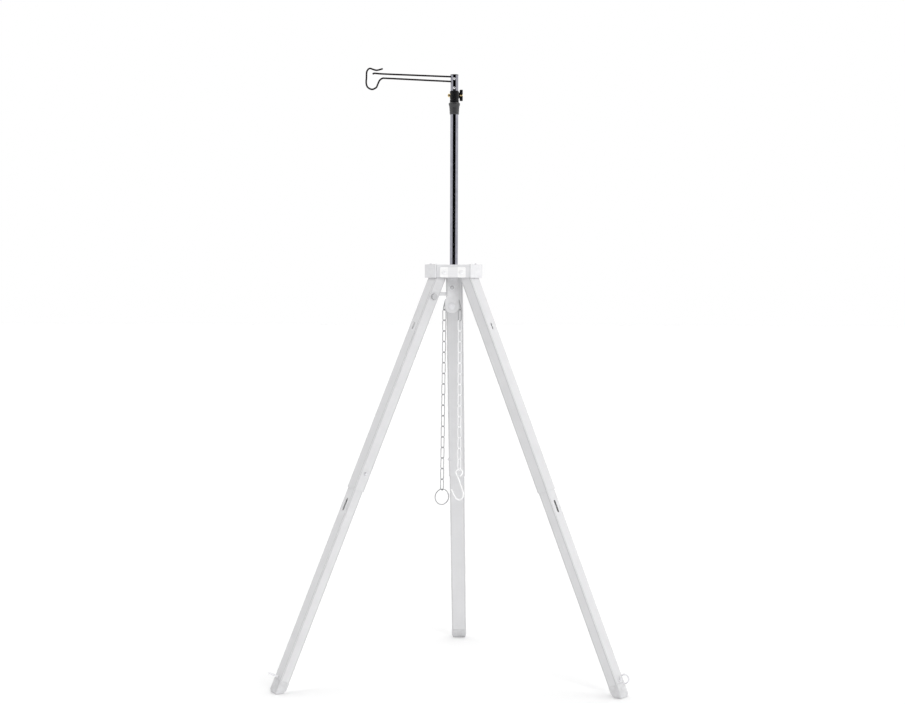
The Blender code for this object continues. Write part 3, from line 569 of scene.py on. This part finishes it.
def corner_block(leg, azimuth):
    """The cover of a leg's pocket, whose wedge stops the open leg, and its screw."""
    low, high = limits(f"corner_block_{leg}")
    outer = HUB_CORNER_FACE + GAP

    def stop_line(z):
        return (PIVOT_RADIUS + (PIN_HEIGHT - z) * tan(SPLAY)
                + UPPER_DEPTH / 2 / cos(SPLAY) + GAP)

    place = azimuth_frame(azimuth)
    plate = box(f"corner_block_{leg}_full", (outer, -26.0, low.z), (outer + 4.2, 26.0, high.z),
                place)
    profile = [(outer + 1, BLOCK_FOOT), (stop_line(BLOCK_FOOT), BLOCK_FOOT),
               (stop_line(BLOCK_BEND), BLOCK_BEND), (stop_line(BLOCK_BEND), POCKET_TOP - GAP),
               (outer + 1, POCKET_TOP - GAP)]
    wedge = loft("wedge", [[radial(azimuth, r, s * UPPER_WIDTH / 2, z) for r, z in profile]
                           for s in (-1, 1)], upright((0, 0, low.z)))
    carve(plate, wedge, operation="UNION")
    spot = radial(azimuth, 61.0, 0, low.z - 2)
    carve(plate, drill(spot, AXIS_Z, 1.6, 40))
    done(plate, f"corner_block_{leg}", edge=0.8)
    point, crown = limits(f"corner_screw_{leg}")
    spot.z = point.z
    under = high.z + GAP - point.z
    screw = turned(f"corner_screw_{leg}_full", spot, AXIS_Z,
                   [(0.5, 0), (1.25, 0.8), (1.3, under), (3.1, under), (3.3, under + 0.2)]
                   + dome(3.3, under + 0.9, 1.65, ROUND_HEAD))
    carve(screw, *cross_recess(spot + AXIS_Z * (crown.z - point.z), AXIS_Z, 1.7, 1.2))
    done(screw, f"corner_screw_{leg}", edge=0.12, segments=2)


def badge():
    """The badge plate with its sunk field, and its two screws in counterbores."""
    low, high = limits("badge_plate")
    z = (low.z + high.z) / 2
    outline = rounded_rectangle(high.x - low.x, high.z - low.z, 3.0)
    plate = loft("badge_plate_full", [[Vector((w, y, z + h)) for h, w in outline]
                                      for y in (high.y, low.y)], upright((0, high.y, z)))
    field = rounded_rectangle(23.2, high.z - low.z - 3.2, 1.2, 6)
    sunk = loft("field", [[Vector((w, y, z + h)) for h, w in field]
                          for y in (low.y - 1, low.y + 0.25)], upright((0, 0, z)))
    cutters = [drill((x, y, BADGE_SCREW_HEIGHT), -AXIS_Y, radius, length, sides)
               for y, radius, length, sides in ((high.y + 3, BADGE_SCREW_HOLE, 8, 24),
                                                (low.y + 0.35, 6.1, 3, 48))
               for x in (-BADGE_SCREW_X, BADGE_SCREW_X)]
    carve(plate, sunk, *cutters)
    done(plate, "badge_plate", edge=0.22)
    for side, x in (("left", -BADGE_SCREW_X), ("right", BADGE_SCREW_X)):
        crown, point = limits(f"badge_screw_{side}")
        base = Vector((x, point.y, BADGE_SCREW_HEIGHT))
        screw = turned(f"badge_screw_{side}_full", base, -AXIS_Y,
                       [(1.1, 0), (1.5, 0.5), (1.5, 4.9), (5.2, 4.9), (5.4, 5.1)]
                       + dome(5.4, 5.5, 1.7, (0, 12, 25, 40, 55, 70, 85)))
        face = Vector((x, crown.y, BADGE_SCREW_HEIGHT))
        carve(screw, *cross_recess(face, AXIS_Y, 2.7, 1.1))
        done(screw, f"badge_screw_{side}", edge=0.15, segments=2, look=SCREW_STEEL)


# -------- legs

# A span, an AT or a TOP is measured down the leg from its hinge pin
TUBE_WALL, TUBE_CORNER = 1.2, 2.2
UPPER_SPAN, LOWER_SPAN = (-10.0, 546.0), (440.0, 1006.7)
BUTTON_AT, EYE_AT, PLUG_TOP, FOOT_TOP = 505.0, 1001.0, 985.0, 1007.0
UPPER_SLOT_AT, LOWER_SLOT_AT, KNOB_AT = 141.0, 586.0, 62.0
UPPER_SLOT, LOWER_SLOT = (17.0, 4.0), (30.0, 8.0)               # length, width
BUTTON_HOLE, KNOB_HOLE, EYE_HOLE = 3.9, 3.3, 2.3                # radii
FOOT_SIZE, SOLE_SIZE, FOOT_CHAMFER = (37.4, 24.0), (31.4, 18.0), 7.0


class Leg:
    """A standing leg: s runs down it from the hinge pin, a out of its outer face, b sideways."""

    def __init__(self, name):
        self.name = name
        fold = JOINT[f"leg_fold_{name}"]
        self.pivot = Vector(fold["pos_m"]) / MM - POLE
        self.down = Vector(JOINT[f"leg_slide_{name}"]["axis"]).normalized()
        self.side = -Vector(fold["axis"]).normalized()
        self.out = self.down.cross(self.side).normalized()

    def at(self, s, a=0.0, b=0.0):
        return self.pivot + self.down * s + self.out * a + self.side * b

    def at_height(self, z, a, b):
        """The point on the line (a, b) along the leg that lies at a height."""
        s = (z - self.at(0, a, b).z) / self.down.z
        return self.at(s, a, b)

    def placed(self, s):
        """The leg's axes, moved down to s."""
        return frame_of(self.at(s), self.down, self.out)

    def tube(self, name, width, depth, span):
        outer = rounded_rectangle(width, depth, TUBE_CORNER)
        inner = rounded_rectangle(width - 2 * TUBE_WALL, depth - 2 * TUBE_WALL,
                                  TUBE_CORNER - TUBE_WALL)
        rings = ([[self.at(s, a, b) for a, b in outer] for s in span]
                 + [[self.at(s, a, b) for a, b in inner] for s in span[::-1]])
        return loft(name, rings, self.placed(span[0]), closed=True)

    def slot(self, s, face, length, width):
        """A cutter for a slot through the outer wall."""
        rings = [[self.at(s + along, a, b) for along, b in capsule(length, width)]
                 for a in (face + 2, face - 4)]
        return loft("slot", rings, self.placed(s))

    def hole(self, s, axis, start, radius, length):
        """A cutter for a round hole along one of the leg's axes."""
        offset = {"side": (0, start), "out": (start, 0)}[axis]
        direction = self.side if axis == "side" else self.out
        return drill(self.at(s, *offset), direction, radius, length, 40)


def leg_tubes(leg):
    """The upper tube and the lower tube that slides in it, with their holes and slots."""
    upper = leg.tube(f"upper_tube_{leg.name}_full", UPPER_WIDTH, UPPER_DEPTH, UPPER_SPAN)
    cutters = [leg.hole(0, "side", -30, PIN_HOLE, 60),
               leg.slot(UPPER_SLOT_AT, UPPER_DEPTH / 2, *UPPER_SLOT),
               leg.hole(BUTTON_AT, "side", 15, BUTTON_HOLE, 8)]
    if leg.name == "left":
        cutters.append(leg.hole(KNOB_AT, "side", UPPER_WIDTH / 2 - 4, KNOB_HOLE, 8))
    carve(upper, *cutters)
    done(upper, f"upper_tube_{leg.name}", edge=0.2, segments=2, sharp=40)
    lower = leg.tube(f"lower_tube_{leg.name}_full", LOWER_WIDTH, LOWER_DEPTH, LOWER_SPAN)
    carve(lower, leg.slot(LOWER_SLOT_AT, LOWER_DEPTH / 2, *LOWER_SLOT),
          leg.hole(BUTTON_AT, "side", 12, BUTTON_HOLE, 10),
          leg.hole(EYE_AT, "out", 7, EYE_HOLE, 10))
    done(lower, f"lower_tube_{leg.name}", edge=0.2, segments=2, sharp=40, look=LOWER_PAINT)


def snap_button(leg):
    """The button that locks the leg's length, and the V spring behind it."""
    inside = LOWER_WIDTH / 2 - TUBE_WALL - GAP
    start = inside - 1.6
    reach = UPPER_WIDTH / 2 + 3.4 - start
    button = turned(f"snap_button_{leg.name}_full", leg.at(BUTTON_AT, 0, start), leg.side,
                    [(4.8, 0), (5.0, 0.2), (5.0, 1.4), (4.8, 1.6), (3.6, 1.6)]
                    + dome(3.6, reach - 2.6, 2.6, ROUND_HEAD))
    done(button, f"snap_button_{leg.name}", edge=0)
    near, far = start - GAP, -inside
    ends, fold, thick = BUTTON_AT + 5.0, BUTTON_AT - 47.0, 0.8
    inner = smooth_path([(ends, near - thick, 0), (BUTTON_AT - 20, 7.6, 0), (fold + 5, 1.1, 0),
                         (fold + 1.4, 0, 0), (fold + 5, -1.1, 0), (BUTTON_AT - 20, -8.4, 0),
                         (ends, far + thick, 0)], 6)
    outer = []
    for before, point, after in zip(inner[:1] + inner, inner, inner[1:] + inner[-1:]):
        along = after - before
        outer.append(point + Vector((-along.y, along.x, 0)).normalized() * thick)
    outline = inner + outer[::-1]
    spring = loft(f"button_spring_{leg.name}_full",
                  [[leg.at(p.x, a, p.y) for p in outline] for a in (-4.0, 4.0)], leg.placed(fold))
    done(spring, f"button_spring_{leg.name}", edge=0.12, segments=2)


def foot(leg):
    """A moulded plug in the tube's end: a rounded collar, a chamfer, and a grooved flat sole."""
    outer = rounded_rectangle(*FOOT_SIZE, TUBE_CORNER)
    sole = rounded_rectangle(*SOLE_SIZE, TUBE_CORNER - 0.5)
    fit = 2 * (TUBE_WALL + GAP)
    plug = rounded_rectangle(LOWER_WIDTH - fit, LOWER_DEPTH - fit, TUBE_CORNER - TUBE_WALL)
    rings = [[leg.at(PLUG_TOP, a, b) for a, b in plug],
             [leg.at(FOOT_TOP, a, b) for a, b in plug],
             [leg.at(FOOT_TOP, a, b) for a, b in outer],
             [leg.at_height(FOOT_CHAMFER, a, b) for a, b in outer],
             [leg.at_height(0.0, a, b) for a, b in sole]]
    cap = loft(f"foot_{leg.name}_full", rings, upright(leg.at(FOOT_TOP)))
    centre = leg.at_height(0.0, 0, 0)
    flat = frame_of(centre, AXIS_Z, leg.side)
    carve(cap, leg.hole(EYE_AT, "out", 7, EYE_HOLE, 10),
          *[box("tread", (x - 0.8, -25, -2), (x + 0.8, 25, 1.1), flat)
            for x in (-12.0, -6.0, 0.0, 6.0, 12.0)])
    done(cap, f"foot_{leg.name}", edge=0.4)


def eye_bolt(leg):
    """A peg eye bent from rod, on a short plain shank."""
    wire, loop, face = 1.9, 10.0, LOWER_DEPTH / 2
    spread = leg.side if leg.name != "right" else -leg.down
    centre = face + 4.0 + loop
    path = [leg.at(EYE_AT, a) for a in (face - 4.0, face - 3.0, face, face + 2.5)]
    for u, v in arc((0, 0), loop, 12, 320, 40):
        path.append(leg.at(EYE_AT, centre - u) + spread * v)
    eye = rod(f"eye_bolt_{leg.name}_full", path, wire, upright(leg.at(EYE_AT)), 18)
    done(eye, f"eye_bolt_{leg.name}", edge=0)


def leg_knob(leg):
    """A thumb knob with a scalloped rim and a dished face."""
    scallops, scallop_depth, sides = 16, 0.28, 96
    base = leg.at(KNOB_AT, 0, UPPER_WIDTH / 2 - 6.0)
    waves = [scallop_depth * (0.5 + 0.5 * cos(2 * pi * scallops * i / sides))
             for i in range(sides)]
    rings = []
    for radius, along, scalloped in (
            (3.0, 0, 0), (3.0, 6.4, 0), (6.3, 6.4, 0), (7.2, 7.0, 1), (7.5, 7.8, 1),
            (7.5, 11.2, 1), (7.1, 12.2, 1), (6.3, 12.6, 0), (4.6, 12.2, 0), (2.0, 12.0, 0)):
        centre = base + leg.side * along
        rings.append([centre + (p - centre) * (radius - scalloped * wave)
                      for p, wave in zip(circle(centre, leg.side, 1.0, sides), waves)])
    knob = loft("leg_knob_full", rings, frame_of(base, leg.side, leg.down))
    done(knob, "leg_knob", edge=0, look=KNOB_PLASTIC)


# -------- pulley and chain

YOKE_WEB, YOKE_EDGE = 11.5, 13.9                # from the wheel's axis, either way
YOKE_SHOULDER_LOW, YOKE_SHOULDER_HIGH = 886.0, 897.0
YOKE_SHEET = 2.0
AXLE_HOLE, SPACER_HOLE, PEG_HOLE = 3.3, 4.5, 2.8


def yoke():
    """The pressed yoke, its spacer, screw and peg."""
    low, high = limits("pulley_yoke")
    wheel = middle("pulley_wheel")
    x, half = wheel.x, wheel.x - low.x
    web = x - YOKE_WEB
    outline = ([(x + YOKE_EDGE, high.z)] + arc((x, wheel.z), half, 0, -180, 40)
               + [(low.x, YOKE_SHOULDER_LOW), (web, YOKE_SHOULDER_HIGH), (web, high.z)])
    body = loft("pulley_yoke_full", [[Vector((u, y, v)) for u, v in outline]
                                     for y in (low.y, high.y)], upright((x, wheel.y, high.z)))
    near, far = low.y + YOKE_SHEET, high.y - YOKE_SHEET
    cutters = [box("slot", (low.x - 5, near, 840), (high.x + 5, far, YOKE_SHOULDER_HIGH - 1)),
               box("room", (web + YOKE_SHEET, near, 890), (high.x + 5, far, high.z - 3))]
    cutters += [drill((x, low.y - 2, wheel.z), AXIS_Y, AXLE_HOLE, 24, 40),
                drill((x, low.y - 2, middle("yoke_spacer").z), AXIS_Y, SPACER_HOLE, 24, 40),
                drill((web - 2, wheel.y, middle("chain_peg").z), AXIS_X, PEG_HOLE, 6, 32),
                drill((x, wheel.y + 2, high.z - 5), AXIS_Z, YOKE_SCREW_HOLE, 8)]
    carve(body, *cutters)
    done(body, "pulley_yoke", edge=0.5)

    low, high = limits("yoke_spacer")
    length = high.y - low.y
    spacer = turned("yoke_spacer_full", (x, low.y, (low.z + high.z) / 2), AXIS_Y,
                    [(2.7, 0.6), (3.4, 0), (4.0, 0.1), (4.2, 0.5), (4.2, length - 0.5),
                     (4.0, length - 0.1), (3.4, length), (2.7, length - 0.6)], closed=True)
    done(spacer, "yoke_spacer", edge=0.1, segments=2)

    low, high = limits("chain_peg")
    shoulder = web - GAP - low.x
    peg = turned("chain_peg_full", (low.x, wheel.y, (low.z + high.z) / 2), AXIS_X,
                 [(2.6, 0), (3.7, 0.35), (4.4, 1.1), (4.6, 2.2), (4.6, 3.4), (4.1, 4.6),
                  (4.1, shoulder - 2.8), (4.6, shoulder - 1.6), (4.6, shoulder), (2.5, shoulder),
                  (2.5, high.x - low.x)])
    done(peg, "chain_peg", edge=0.1, segments=2)

    low, high = limits("yoke_screw")
    base = Vector((x, wheel.y + 2, low.z))
    screw = turned("yoke_screw_full", base, AXIS_Z,
                   [(2.2, 0), (3.2, 0.4), (3.6, 1.2), (3.6, 3.1), (2.0, 3.1),
                    (2.0, high.z - low.z)])
    carve(screw, *cross_recess(base, AXIS_Z, 1.8, 1.2))
    done(screw, "yoke_screw", edge=0.1, segments=2)


GROOVE_FLOOR, GROOVE_HALF = 11.0, 4.4


def pulley():
    """The grooved wheel on its riveted axle. Its groove is deep, so that long links clear it."""
    low, high = limits("pulley_wheel")
    wheel = (low + high) / 2
    width, rim = high.y - low.y, high.x - wheel.x
    face = [(AXLE_HOLE, 0), (8.6, 0), (9.0, 0.4), (9.4, 1.0), (14.8, 1.0), (15.3, 0.4), (15.7, 0),
            (rim - 0.4, 0), (rim, 0.4), (rim, 0.9), (rim - 0.8, 1.5),
            (GROOVE_FLOOR, width / 2 - GROOVE_HALF)]
    profile = face + [(radius, width - along) for radius, along in face[::-1]]
    done(turned("pulley_wheel_full", (wheel.x, low.y, wheel.z), AXIS_Y, profile, 72, closed=True),
         "pulley_wheel", edge=0)
    low, high = limits("pulley_axle")
    length = high.y - low.y
    axle = turned("pulley_axle_full", (wheel.x, low.y, wheel.z), AXIS_Y,
                  dome((high.x - low.x) / 2, 1.6, -1.6, (80, 60, 45, 30, 15, 0))
                  + [(3.0, 1.6), (3.0, length - 1.2), (4.4, length - 1.2), (4.2, length - 0.4),
                     (3.4, length)])
    done(axle, "pulley_axle", edge=0.1, segments=2)


LINK_WIRE = 1.0                 # radius
LINK_WIDTH = 12.0
LINK_PLAY = 0.12
LINK_TWIST = -45.0              # degrees, of each run's first link about the chain
RING_LINKS, HOOK_LINKS, CROWN_LINKS = 16, 14, 3
RING_WIRE, RING_TURN = 1.2, radians(31.0)
POT_HOOK_WIRE = 1.5
POT_HOOK_SHAPE = [(3.4, 3.6), (8.6, 9.4), (9.3, 16.0), (2.1, 21.0), (-4.6, 16.2), (-4.6, 9.0),
                  (0.0, -1.0), (6.0, -18.0), (11.3, -33.0), (11.8, -43.0), (7.8, -50.0),
                  (1.5, -52.4), (-4.8, -49.4), (-9.5, -42.0), (-13.5, -34.0), (-16.5, -27.0)]


def add_link(bm, foot, head, across):
    """A long oval link whose inside ends touch foot and head, flat along across."""
    up = (head - foot).normalized()
    reach = LINK_WIDTH / 2 - LINK_WIRE
    straight = ((head - foot).length + LINK_PLAY) / 2 + LINK_WIRE - reach
    centre = (foot + head) / 2
    oval = arc((0, straight), reach, 0, 180, 12) + arc((0, -straight), reach, 180, 360, 12)
    add_rod(bm, [centre + across * u + up * v for u, v in oval], LINK_WIRE, 12, closed=True)


def chain(name, contacts, look=None):
    """Interlinked links between contact points, each a quarter turn from the last."""
    bm = bmesh.new()
    for i, (foot, head) in enumerate(zip(contacts, contacts[1:])):
        up = (head - foot).normalized()
        turn = Matrix.Rotation(radians(LINK_TWIST + 90 * (i % 2)), 3, up)
        add_link(bm, foot, head, turn @ up.cross(AXIS_Y).normalized())
    done(mesh_object(f"{name}_full", bm, upright(contacts[0])), name, edge=0, look=look)


def chains():
    """The chain in its three runs, each of real links, with the pull ring and the pot hook."""
    wheel = middle("pulley_wheel")
    pivots = {side: Vector(JOINT[f"{side}_chain_swing"]["pos_m"]) / MM - POLE
              for side in ("ring", "hook")}
    ring_low, ring_high = limits("pull_ring")
    ring_radius = (ring_high.z - ring_low.z) / 2 - RING_WIRE
    hook_high = limits("pot_hook")[1]
    ring_x = (ring_low.x + ring_high.x) / 2
    ring_eye = Vector((ring_x, wheel.y, ring_high.z - 2 * RING_WIRE))
    hook_eye = Vector((pivots["hook"].x, wheel.y, hook_high.z - 2 * POT_HOOK_WIRE))
    # The hook side's run gets the near-white copy of the chain steel, a painted highlight; the
    # other runs keep the grey chain steel.
    for side, eye, count, look in (("ring", ring_eye, RING_LINKS, None),
                                   ("hook", hook_eye, HOOK_LINKS, HOOK_CHAIN_HIGHLIGHT_STEEL)):
        contacts = [eye.lerp(pivots[side], k / count) for k in range(count + 1)]
        chain(f"chain_{side}_side", contacts, look)

    # Five links over the wheel: one up from each run, and three around the top
    pitch = (pivots["ring"] - ring_eye).length / RING_LINKS
    first = pivots["hook"] + AXIS_Z * pitch
    arm = first - wheel
    radius, start = hypot(arm.x, arm.z), atan2(arm.z, arm.x)
    turns = [start + (pi - 2 * start) * k / CROWN_LINKS for k in range(CROWN_LINKS + 1)]
    over = [Vector((wheel.x + radius * cos(t), wheel.y, wheel.z + radius * sin(t))) for t in turns]
    chain("chain_over_wheel", [pivots["hook"], *over, pivots["ring"]])

    centre = Vector((ring_x, wheel.y, (ring_low.z + ring_high.z) / 2))
    flat = Vector((cos(RING_TURN), sin(RING_TURN), 0))
    path = [centre + ring_radius * (flat * sin(t) + AXIS_Z * cos(t))
            for t in (2 * pi * k / 72 for k in range(72))]
    done(rod("pull_ring_full", path, RING_WIRE, upright(centre), 14, closed=True),
         "pull_ring", edge=0)
    pinch = Vector((pivots["hook"].x - 2.1, wheel.y, 464.9))
    path = smooth_path([pinch + Vector((u, 0, v)) for u, v in POT_HOOK_SHAPE], 7)
    done(rod("pot_hook_full", path, POT_HOOK_WIRE, upright(pinch), 18), "pot_hook", edge=0)


# -------- pole

POLE_RADIUS, POLE_BORE = 9.5, 8.6
INNER_RADIUS, INNER_BORE = 8.3, 7.3
FITTED = 9.8                    # the bore of what fits around the pole's tube


def plain_tube(node, outer, inner, lip=0.5):
    """An upright tube with chamfered outer ends."""
    low, high = limits(node)
    length = high.z - low.z
    return turned(f"{node}_full", (0, 0, low.z), AXIS_Z,
                  [(outer - lip, 0), (outer, lip), (outer, length - lip), (outer - lip, length),
                   (inner, length), (inner, 0)], 72, closed=True)


def pole():
    """The two tubes and the ribbed collar on the outer one's end."""
    done(plain_tube("pole_tube", POLE_RADIUS, POLE_BORE), "pole_tube", edge=0)
    done(plain_tube("inner_tube", INNER_RADIUS, INNER_BORE), "inner_tube", edge=0)
    low, high = limits("pole_collar")
    top = high.z - low.z
    rings = [(10.2, 0), (10.5, 0.3), (10.8, 1.2)]
    for k in range(4):
        at = 3.2 + 3.4 * k
        radius = 10.9 + 0.055 * at
        rings += [(radius, at), (radius - 0.35, at + 0.35), (radius - 0.35, at + 0.95),
                  (radius, at + 1.3)]
    rings += [(11.9, 18.0), (12.4, 20.0), (13.1, 22.4), (13.5, 24.4), (13.4, 25.6), (13.0, 26.4),
              (12.2, 27.2), (11.4, top), (POLE_BORE, top), (POLE_BORE, top - 6.0),
              (FITTED, top - 6.0), (FITTED, 0)]
    done(turned("pole_collar_full", (0, 0, low.z), AXIS_Z, rings, 72, closed=True),
         "pole_collar", edge=0.2, segments=2, sharp=35)
    for node in ("pole_foot", "head_plug"):
        repaint(node, "black_plastic")


def clamp():
    """The split clamp with its ears, bolt, nut, brass insert and winged knob."""
    low, high = limits("clamp_body")
    height = high.z - low.z
    body = turned("clamp_body_full", (0, 0, low.z), AXIS_Z,
                  [(9.8, 0), (10.6, 0.8), (10.6, 6.0), (10.1, 6.6), (10.1, 8.4), (10.6, 9.0),
                   (10.6, 18.0), (10.1, 18.6), (10.1, 20.4), (10.6, 21.0), (10.6, height - 0.8),
                   (9.8, height), (POLE_BORE, height), (POLE_BORE, 0)], 72, closed=True)
    bottom, top, corner = 1361.4, 1378.6, 3.0
    outline = ([(0, bottom)] + arc((6.3, bottom + corner), corner, -90, 0, 8)
               + arc((6.3, top - corner), corner, 0, 90, 8) + [(0, top)])
    ears = [[Vector((x, 8.9 + u, v)) for u, v in outline] for x in (-9.4, 9.4)]
    carve(body, loft("ears", ears, upright((0, 9, bottom))), operation="UNION")
    axis = middle("clamp_bolt")
    axis.x = 0
    carve(body, box("slit", (-1.0, 6.0, low.z - 2), (1.0, 20.0, high.z + 2)),
          drill(axis - AXIS_X * 15, AXIS_X, 2.2, 30, 32))
    done(body, "clamp_body", edge=0.35)
    thread = [(1.3, 0), (1.75, 0.5)]
    for k in range(5):
        thread += [(1.9, 0.7 + 0.7 * k), (1.6, 1.05 + 0.7 * k)]
    bolt = turned("clamp_bolt_full", axis - AXIS_X * 16.3, AXIS_X,
                  thread + [(1.9, 4.4), (1.9, 34.6), (1.3, 35.2)], 32)
    done(bolt, "clamp_bolt", edge=0)
    nut = turned("clamp_nut_full", axis - AXIS_X * 15.8, AXIS_X,
                 [(3.7, 0), (4.0, 0.35), (4.0, 5.65), (3.7, 6.0), (2.5, 6.0), (2.2, 5.7),
                  (2.2, 0.3), (2.5, 0)], 6, closed=True)
    done(nut, "clamp_nut", edge=0.25)
    insert = turned("knob_insert_full", axis + AXIS_X * 9.8, AXIS_X,
                    [(2.9, 0), (3.2, 0.3), (3.2, 8.7), (2.8, 9.2), (2.4, 9.2), (2.2, 8.9),
                     (2.2, 0)], 40, closed=True)
    done(insert, "knob_insert", edge=0)
    wings = capsule(27.0, 9.0, 16)
    rings = [[axis + AXIS_X * x + Vector((0, scale * w, scale * h)) for h, w in wings]
             for x, scale in ((12.0, 0.92), (12.3, 0.97), (13.2, 1.0), (18.0, 1.0), (18.9, 0.97),
                              (19.3, 0.9))]
    knob = loft("clamp_knob_full", rings, upright(axis + AXIS_X * 12))
    base = turned("base", axis + AXIS_X * 10.2, AXIS_X, [(7.0, 0), (7.0, 2.4)], 48)
    carve(knob, base, operation="UNION")
    cutters = [drill(axis + AXIS_X * 8, AXIS_X, 3.5, 14, 40)]
    for side in (-1, 1):
        inner, outer = sorted((side * 2.9, side * 6.0))
        cutters.append(box("waist", (12.6, axis.y + inner, axis.z - 4.2),
                           (22.0, axis.y + outer, axis.z + 4.2)))
    carve(knob, *cutters)
    done(knob, "clamp_knob", edge=0.4)


ARM_WIRE = 2.0                  # radius
HOOK_SHAPE = [(2.0, 1401.5), (-8.6, 1402.1), (-87.0, 1406.1), (-160.0, 1409.8), (-170.0, 1409.6),
              (-176.6, 1405.0), (-181.0, 1396.0), (-184.6, 1388.4), (-194.4, 1383.9),
              (-204.6, 1388.6), (-208.3, 1398.0), (-207.8, 1412.0), (-207.0, 1425.6),
              (-200.8, 1433.0), (-191.5, 1430.6), (-184.3, 1428.8), (-177.5, 1430.0),
              (-169.0, 1432.4)]
KEEPER_SHAPE = [(2.0, 1412.9), (-8.6, 1413.3), (-87.0, 1416.6), (-166.4, 1420.0),
                (-184.0, 1421.3), (-190.6, 1421.4), (-193.0, 1419.2)]


def head():
    """The head sleeve, its cap and screws, and the two arm wires."""
    sleeve = plain_tube("head_sleeve", 9.2, POLE_BORE, 0.25)
    cutters = []
    for node, shape in (("hook_wire", HOOK_SHAPE), ("keeper_wire", KEEPER_SHAPE)):
        path = smooth_path([(x, 0.0, z) for x, z in shape], 8)
        start = path[0]
        along = (path[16] - start).normalized()
        cutters.append(drill(start - along * 0.6, along, 2.3, 16, 32))
        done(rod(f"{node}_full", path, ARM_WIRE, upright(start), 20), node, edge=0)
    for node in ("head_screw_top", "head_screw_bottom"):
        tip, back = limits(node)
        z = (tip.z + back.z) / 2
        cutters.append(drill((0, -12, z), AXIS_Y, 1.5, 9))
        screw = turned(f"{node}_full", (0, tip.y, z), AXIS_Y,
                       dome(2.9, 1.4, -1.4, (85, 70, 55, 40, 25, 12, 0))
                       + [(2.9, 1.6), (1.2, 1.6), (1.2, back.y - tip.y)], 40)
        carve(screw, *cross_recess(Vector((0, tip.y, z)), AXIS_Y, 1.5, 0.9))
        done(screw, node, edge=0.1, segments=2)
    carve(sleeve, *cutters)
    done(sleeve, "head_sleeve", edge=0.12, segments=2)
    low, high = limits("head_cap")
    top = high.z - low.z
    done(turned("head_cap_full", (0, 0, low.z), AXIS_Z,
                [(9.5, 0), (9.6, 0.15), (9.6, top - 0.7), (9.3, top - 0.3), (8.6, top - 0.05),
                 (6.0, top)], 64), "head_cap", edge=0)


# -------- stage, light and camera

FLOOR_RADIUS = 60.0             # metres
CAMERA_FOCAL, SENSOR = 67.62, 36.0
CAMERA_SIDE, CAMERA_BACK, CAMERA_HEIGHT = -9.9, 4021.1, 883.7
CAMERA_PITCH, CAMERA_YAW, CAMERA_ROLL = -0.0296, 0.0019, 0.0036
STAND_TURN = radians(2.4387)


def camera():
    """The camera, four metres back, just below the hub and a little to the left."""
    turn = Matrix.Rotation(STAND_TURN, 3, "Z")
    forward = Vector((sin(CAMERA_YAW) * cos(CAMERA_PITCH),
                      cos(CAMERA_YAW) * cos(CAMERA_PITCH), sin(CAMERA_PITCH)))
    right = Vector((cos(CAMERA_YAW), -sin(CAMERA_YAW), 0))
    up = right.cross(forward)
    right, up = (right * cos(CAMERA_ROLL) + up * sin(CAMERA_ROLL),
                 up * cos(CAMERA_ROLL) - right * sin(CAMERA_ROLL))
    axes = Matrix((turn @ right, turn @ up, -(turn @ forward))).transposed().to_4x4()
    spot = turn @ Vector((CAMERA_SIDE, -CAMERA_BACK, CAMERA_HEIGHT))
    data = bpy.data.cameras.new("camera")
    data.lens, data.sensor_width, data.sensor_fit = CAMERA_FOCAL, SENSOR, "HORIZONTAL"
    data.clip_start, data.clip_end = 0.05, 200.0
    made = add_object("camera", data)
    made.matrix_world = Matrix.Translation((spot + POLE) * MM) @ axes
    bpy.context.scene.camera = made


def floor():
    """A white disc, just below the feet, that catches the contact shadows."""
    bm = bmesh.new()
    bmesh.ops.create_circle(bm, cap_ends=True, radius=FLOOR_RADIUS, segments=128)
    mesh = bpy.data.meshes.new("floor")
    bm.to_mesh(mesh)
    bm.free()
    g = Graph("floor_paint")
    tone = g.mix(g.noise(1.4, 3.0), (0.945, 0.945, 0.945), (0.955, 0.955, 0.955))
    mesh.materials.append(g.finish(tone, Roughness=0.9, Specular_IOR_Level=0.1))
    made = add_object("floor", mesh)
    made.location.z = -0.0003


def light():
    """A studio that the camera sees white, dark in a wedge behind it, with a soft front sun."""
    g = Graph("studio", world=True)
    bpy.context.scene.world = g.owner
    heading = g.vector("NORMALIZE", g.vector("MULTIPLY", g.coords, (1, 1, 0))[0])[0]
    # 1 straight behind the camera, 0 to its sides
    behind = g.vector("DOT_PRODUCT", heading,
                      (sin(STAND_TURN), -cos(STAND_TURN), 0))["Value"]
    glow = g.maths("MULTIPLY", g.ramp(behind, 0.62, 0.82, 1.0, 0.0),
                   g.ramp(g.xyz()[2], 0.0, 1.0, 0.925, 1.42))
    strength = g.node("ShaderNodeMix", B=1.0)
    g.link(g.node("ShaderNodeLightPath").outputs["Is Camera Ray"], strength.inputs["Factor"])
    g.link(glow, strength.inputs["A"])
    g.shader.inputs["Color"].default_value = (1, 1, 1, 1)
    g.link(strength.outputs["Result"], g.shader.inputs["Strength"])

    sun = bpy.data.lights.new("front_light", "SUN")
    sun.energy, sun.angle = 1.55, radians(30)
    lamp = add_object("front_light", sun)
    lamp.rotation_euler = (radians(70), 0, radians(25))
    lamp.visible_glossy = False
    bpy.context.scene.view_settings.view_transform = "Standard"


# -------- assembly

camera()
floor()
light()
hub()
badge()
for leg_name, leg_azimuth in LEG_AZIMUTH.items():
    corner_block(leg_name, leg_azimuth)
    standing = Leg(leg_name)
    leg_tubes(standing)
    snap_button(standing)
    foot(standing)
    eye_bolt(standing)
    if leg_name == "left":
        leg_knob(standing)
yoke()
pulley()
chains()
pole()
clamp()
head()
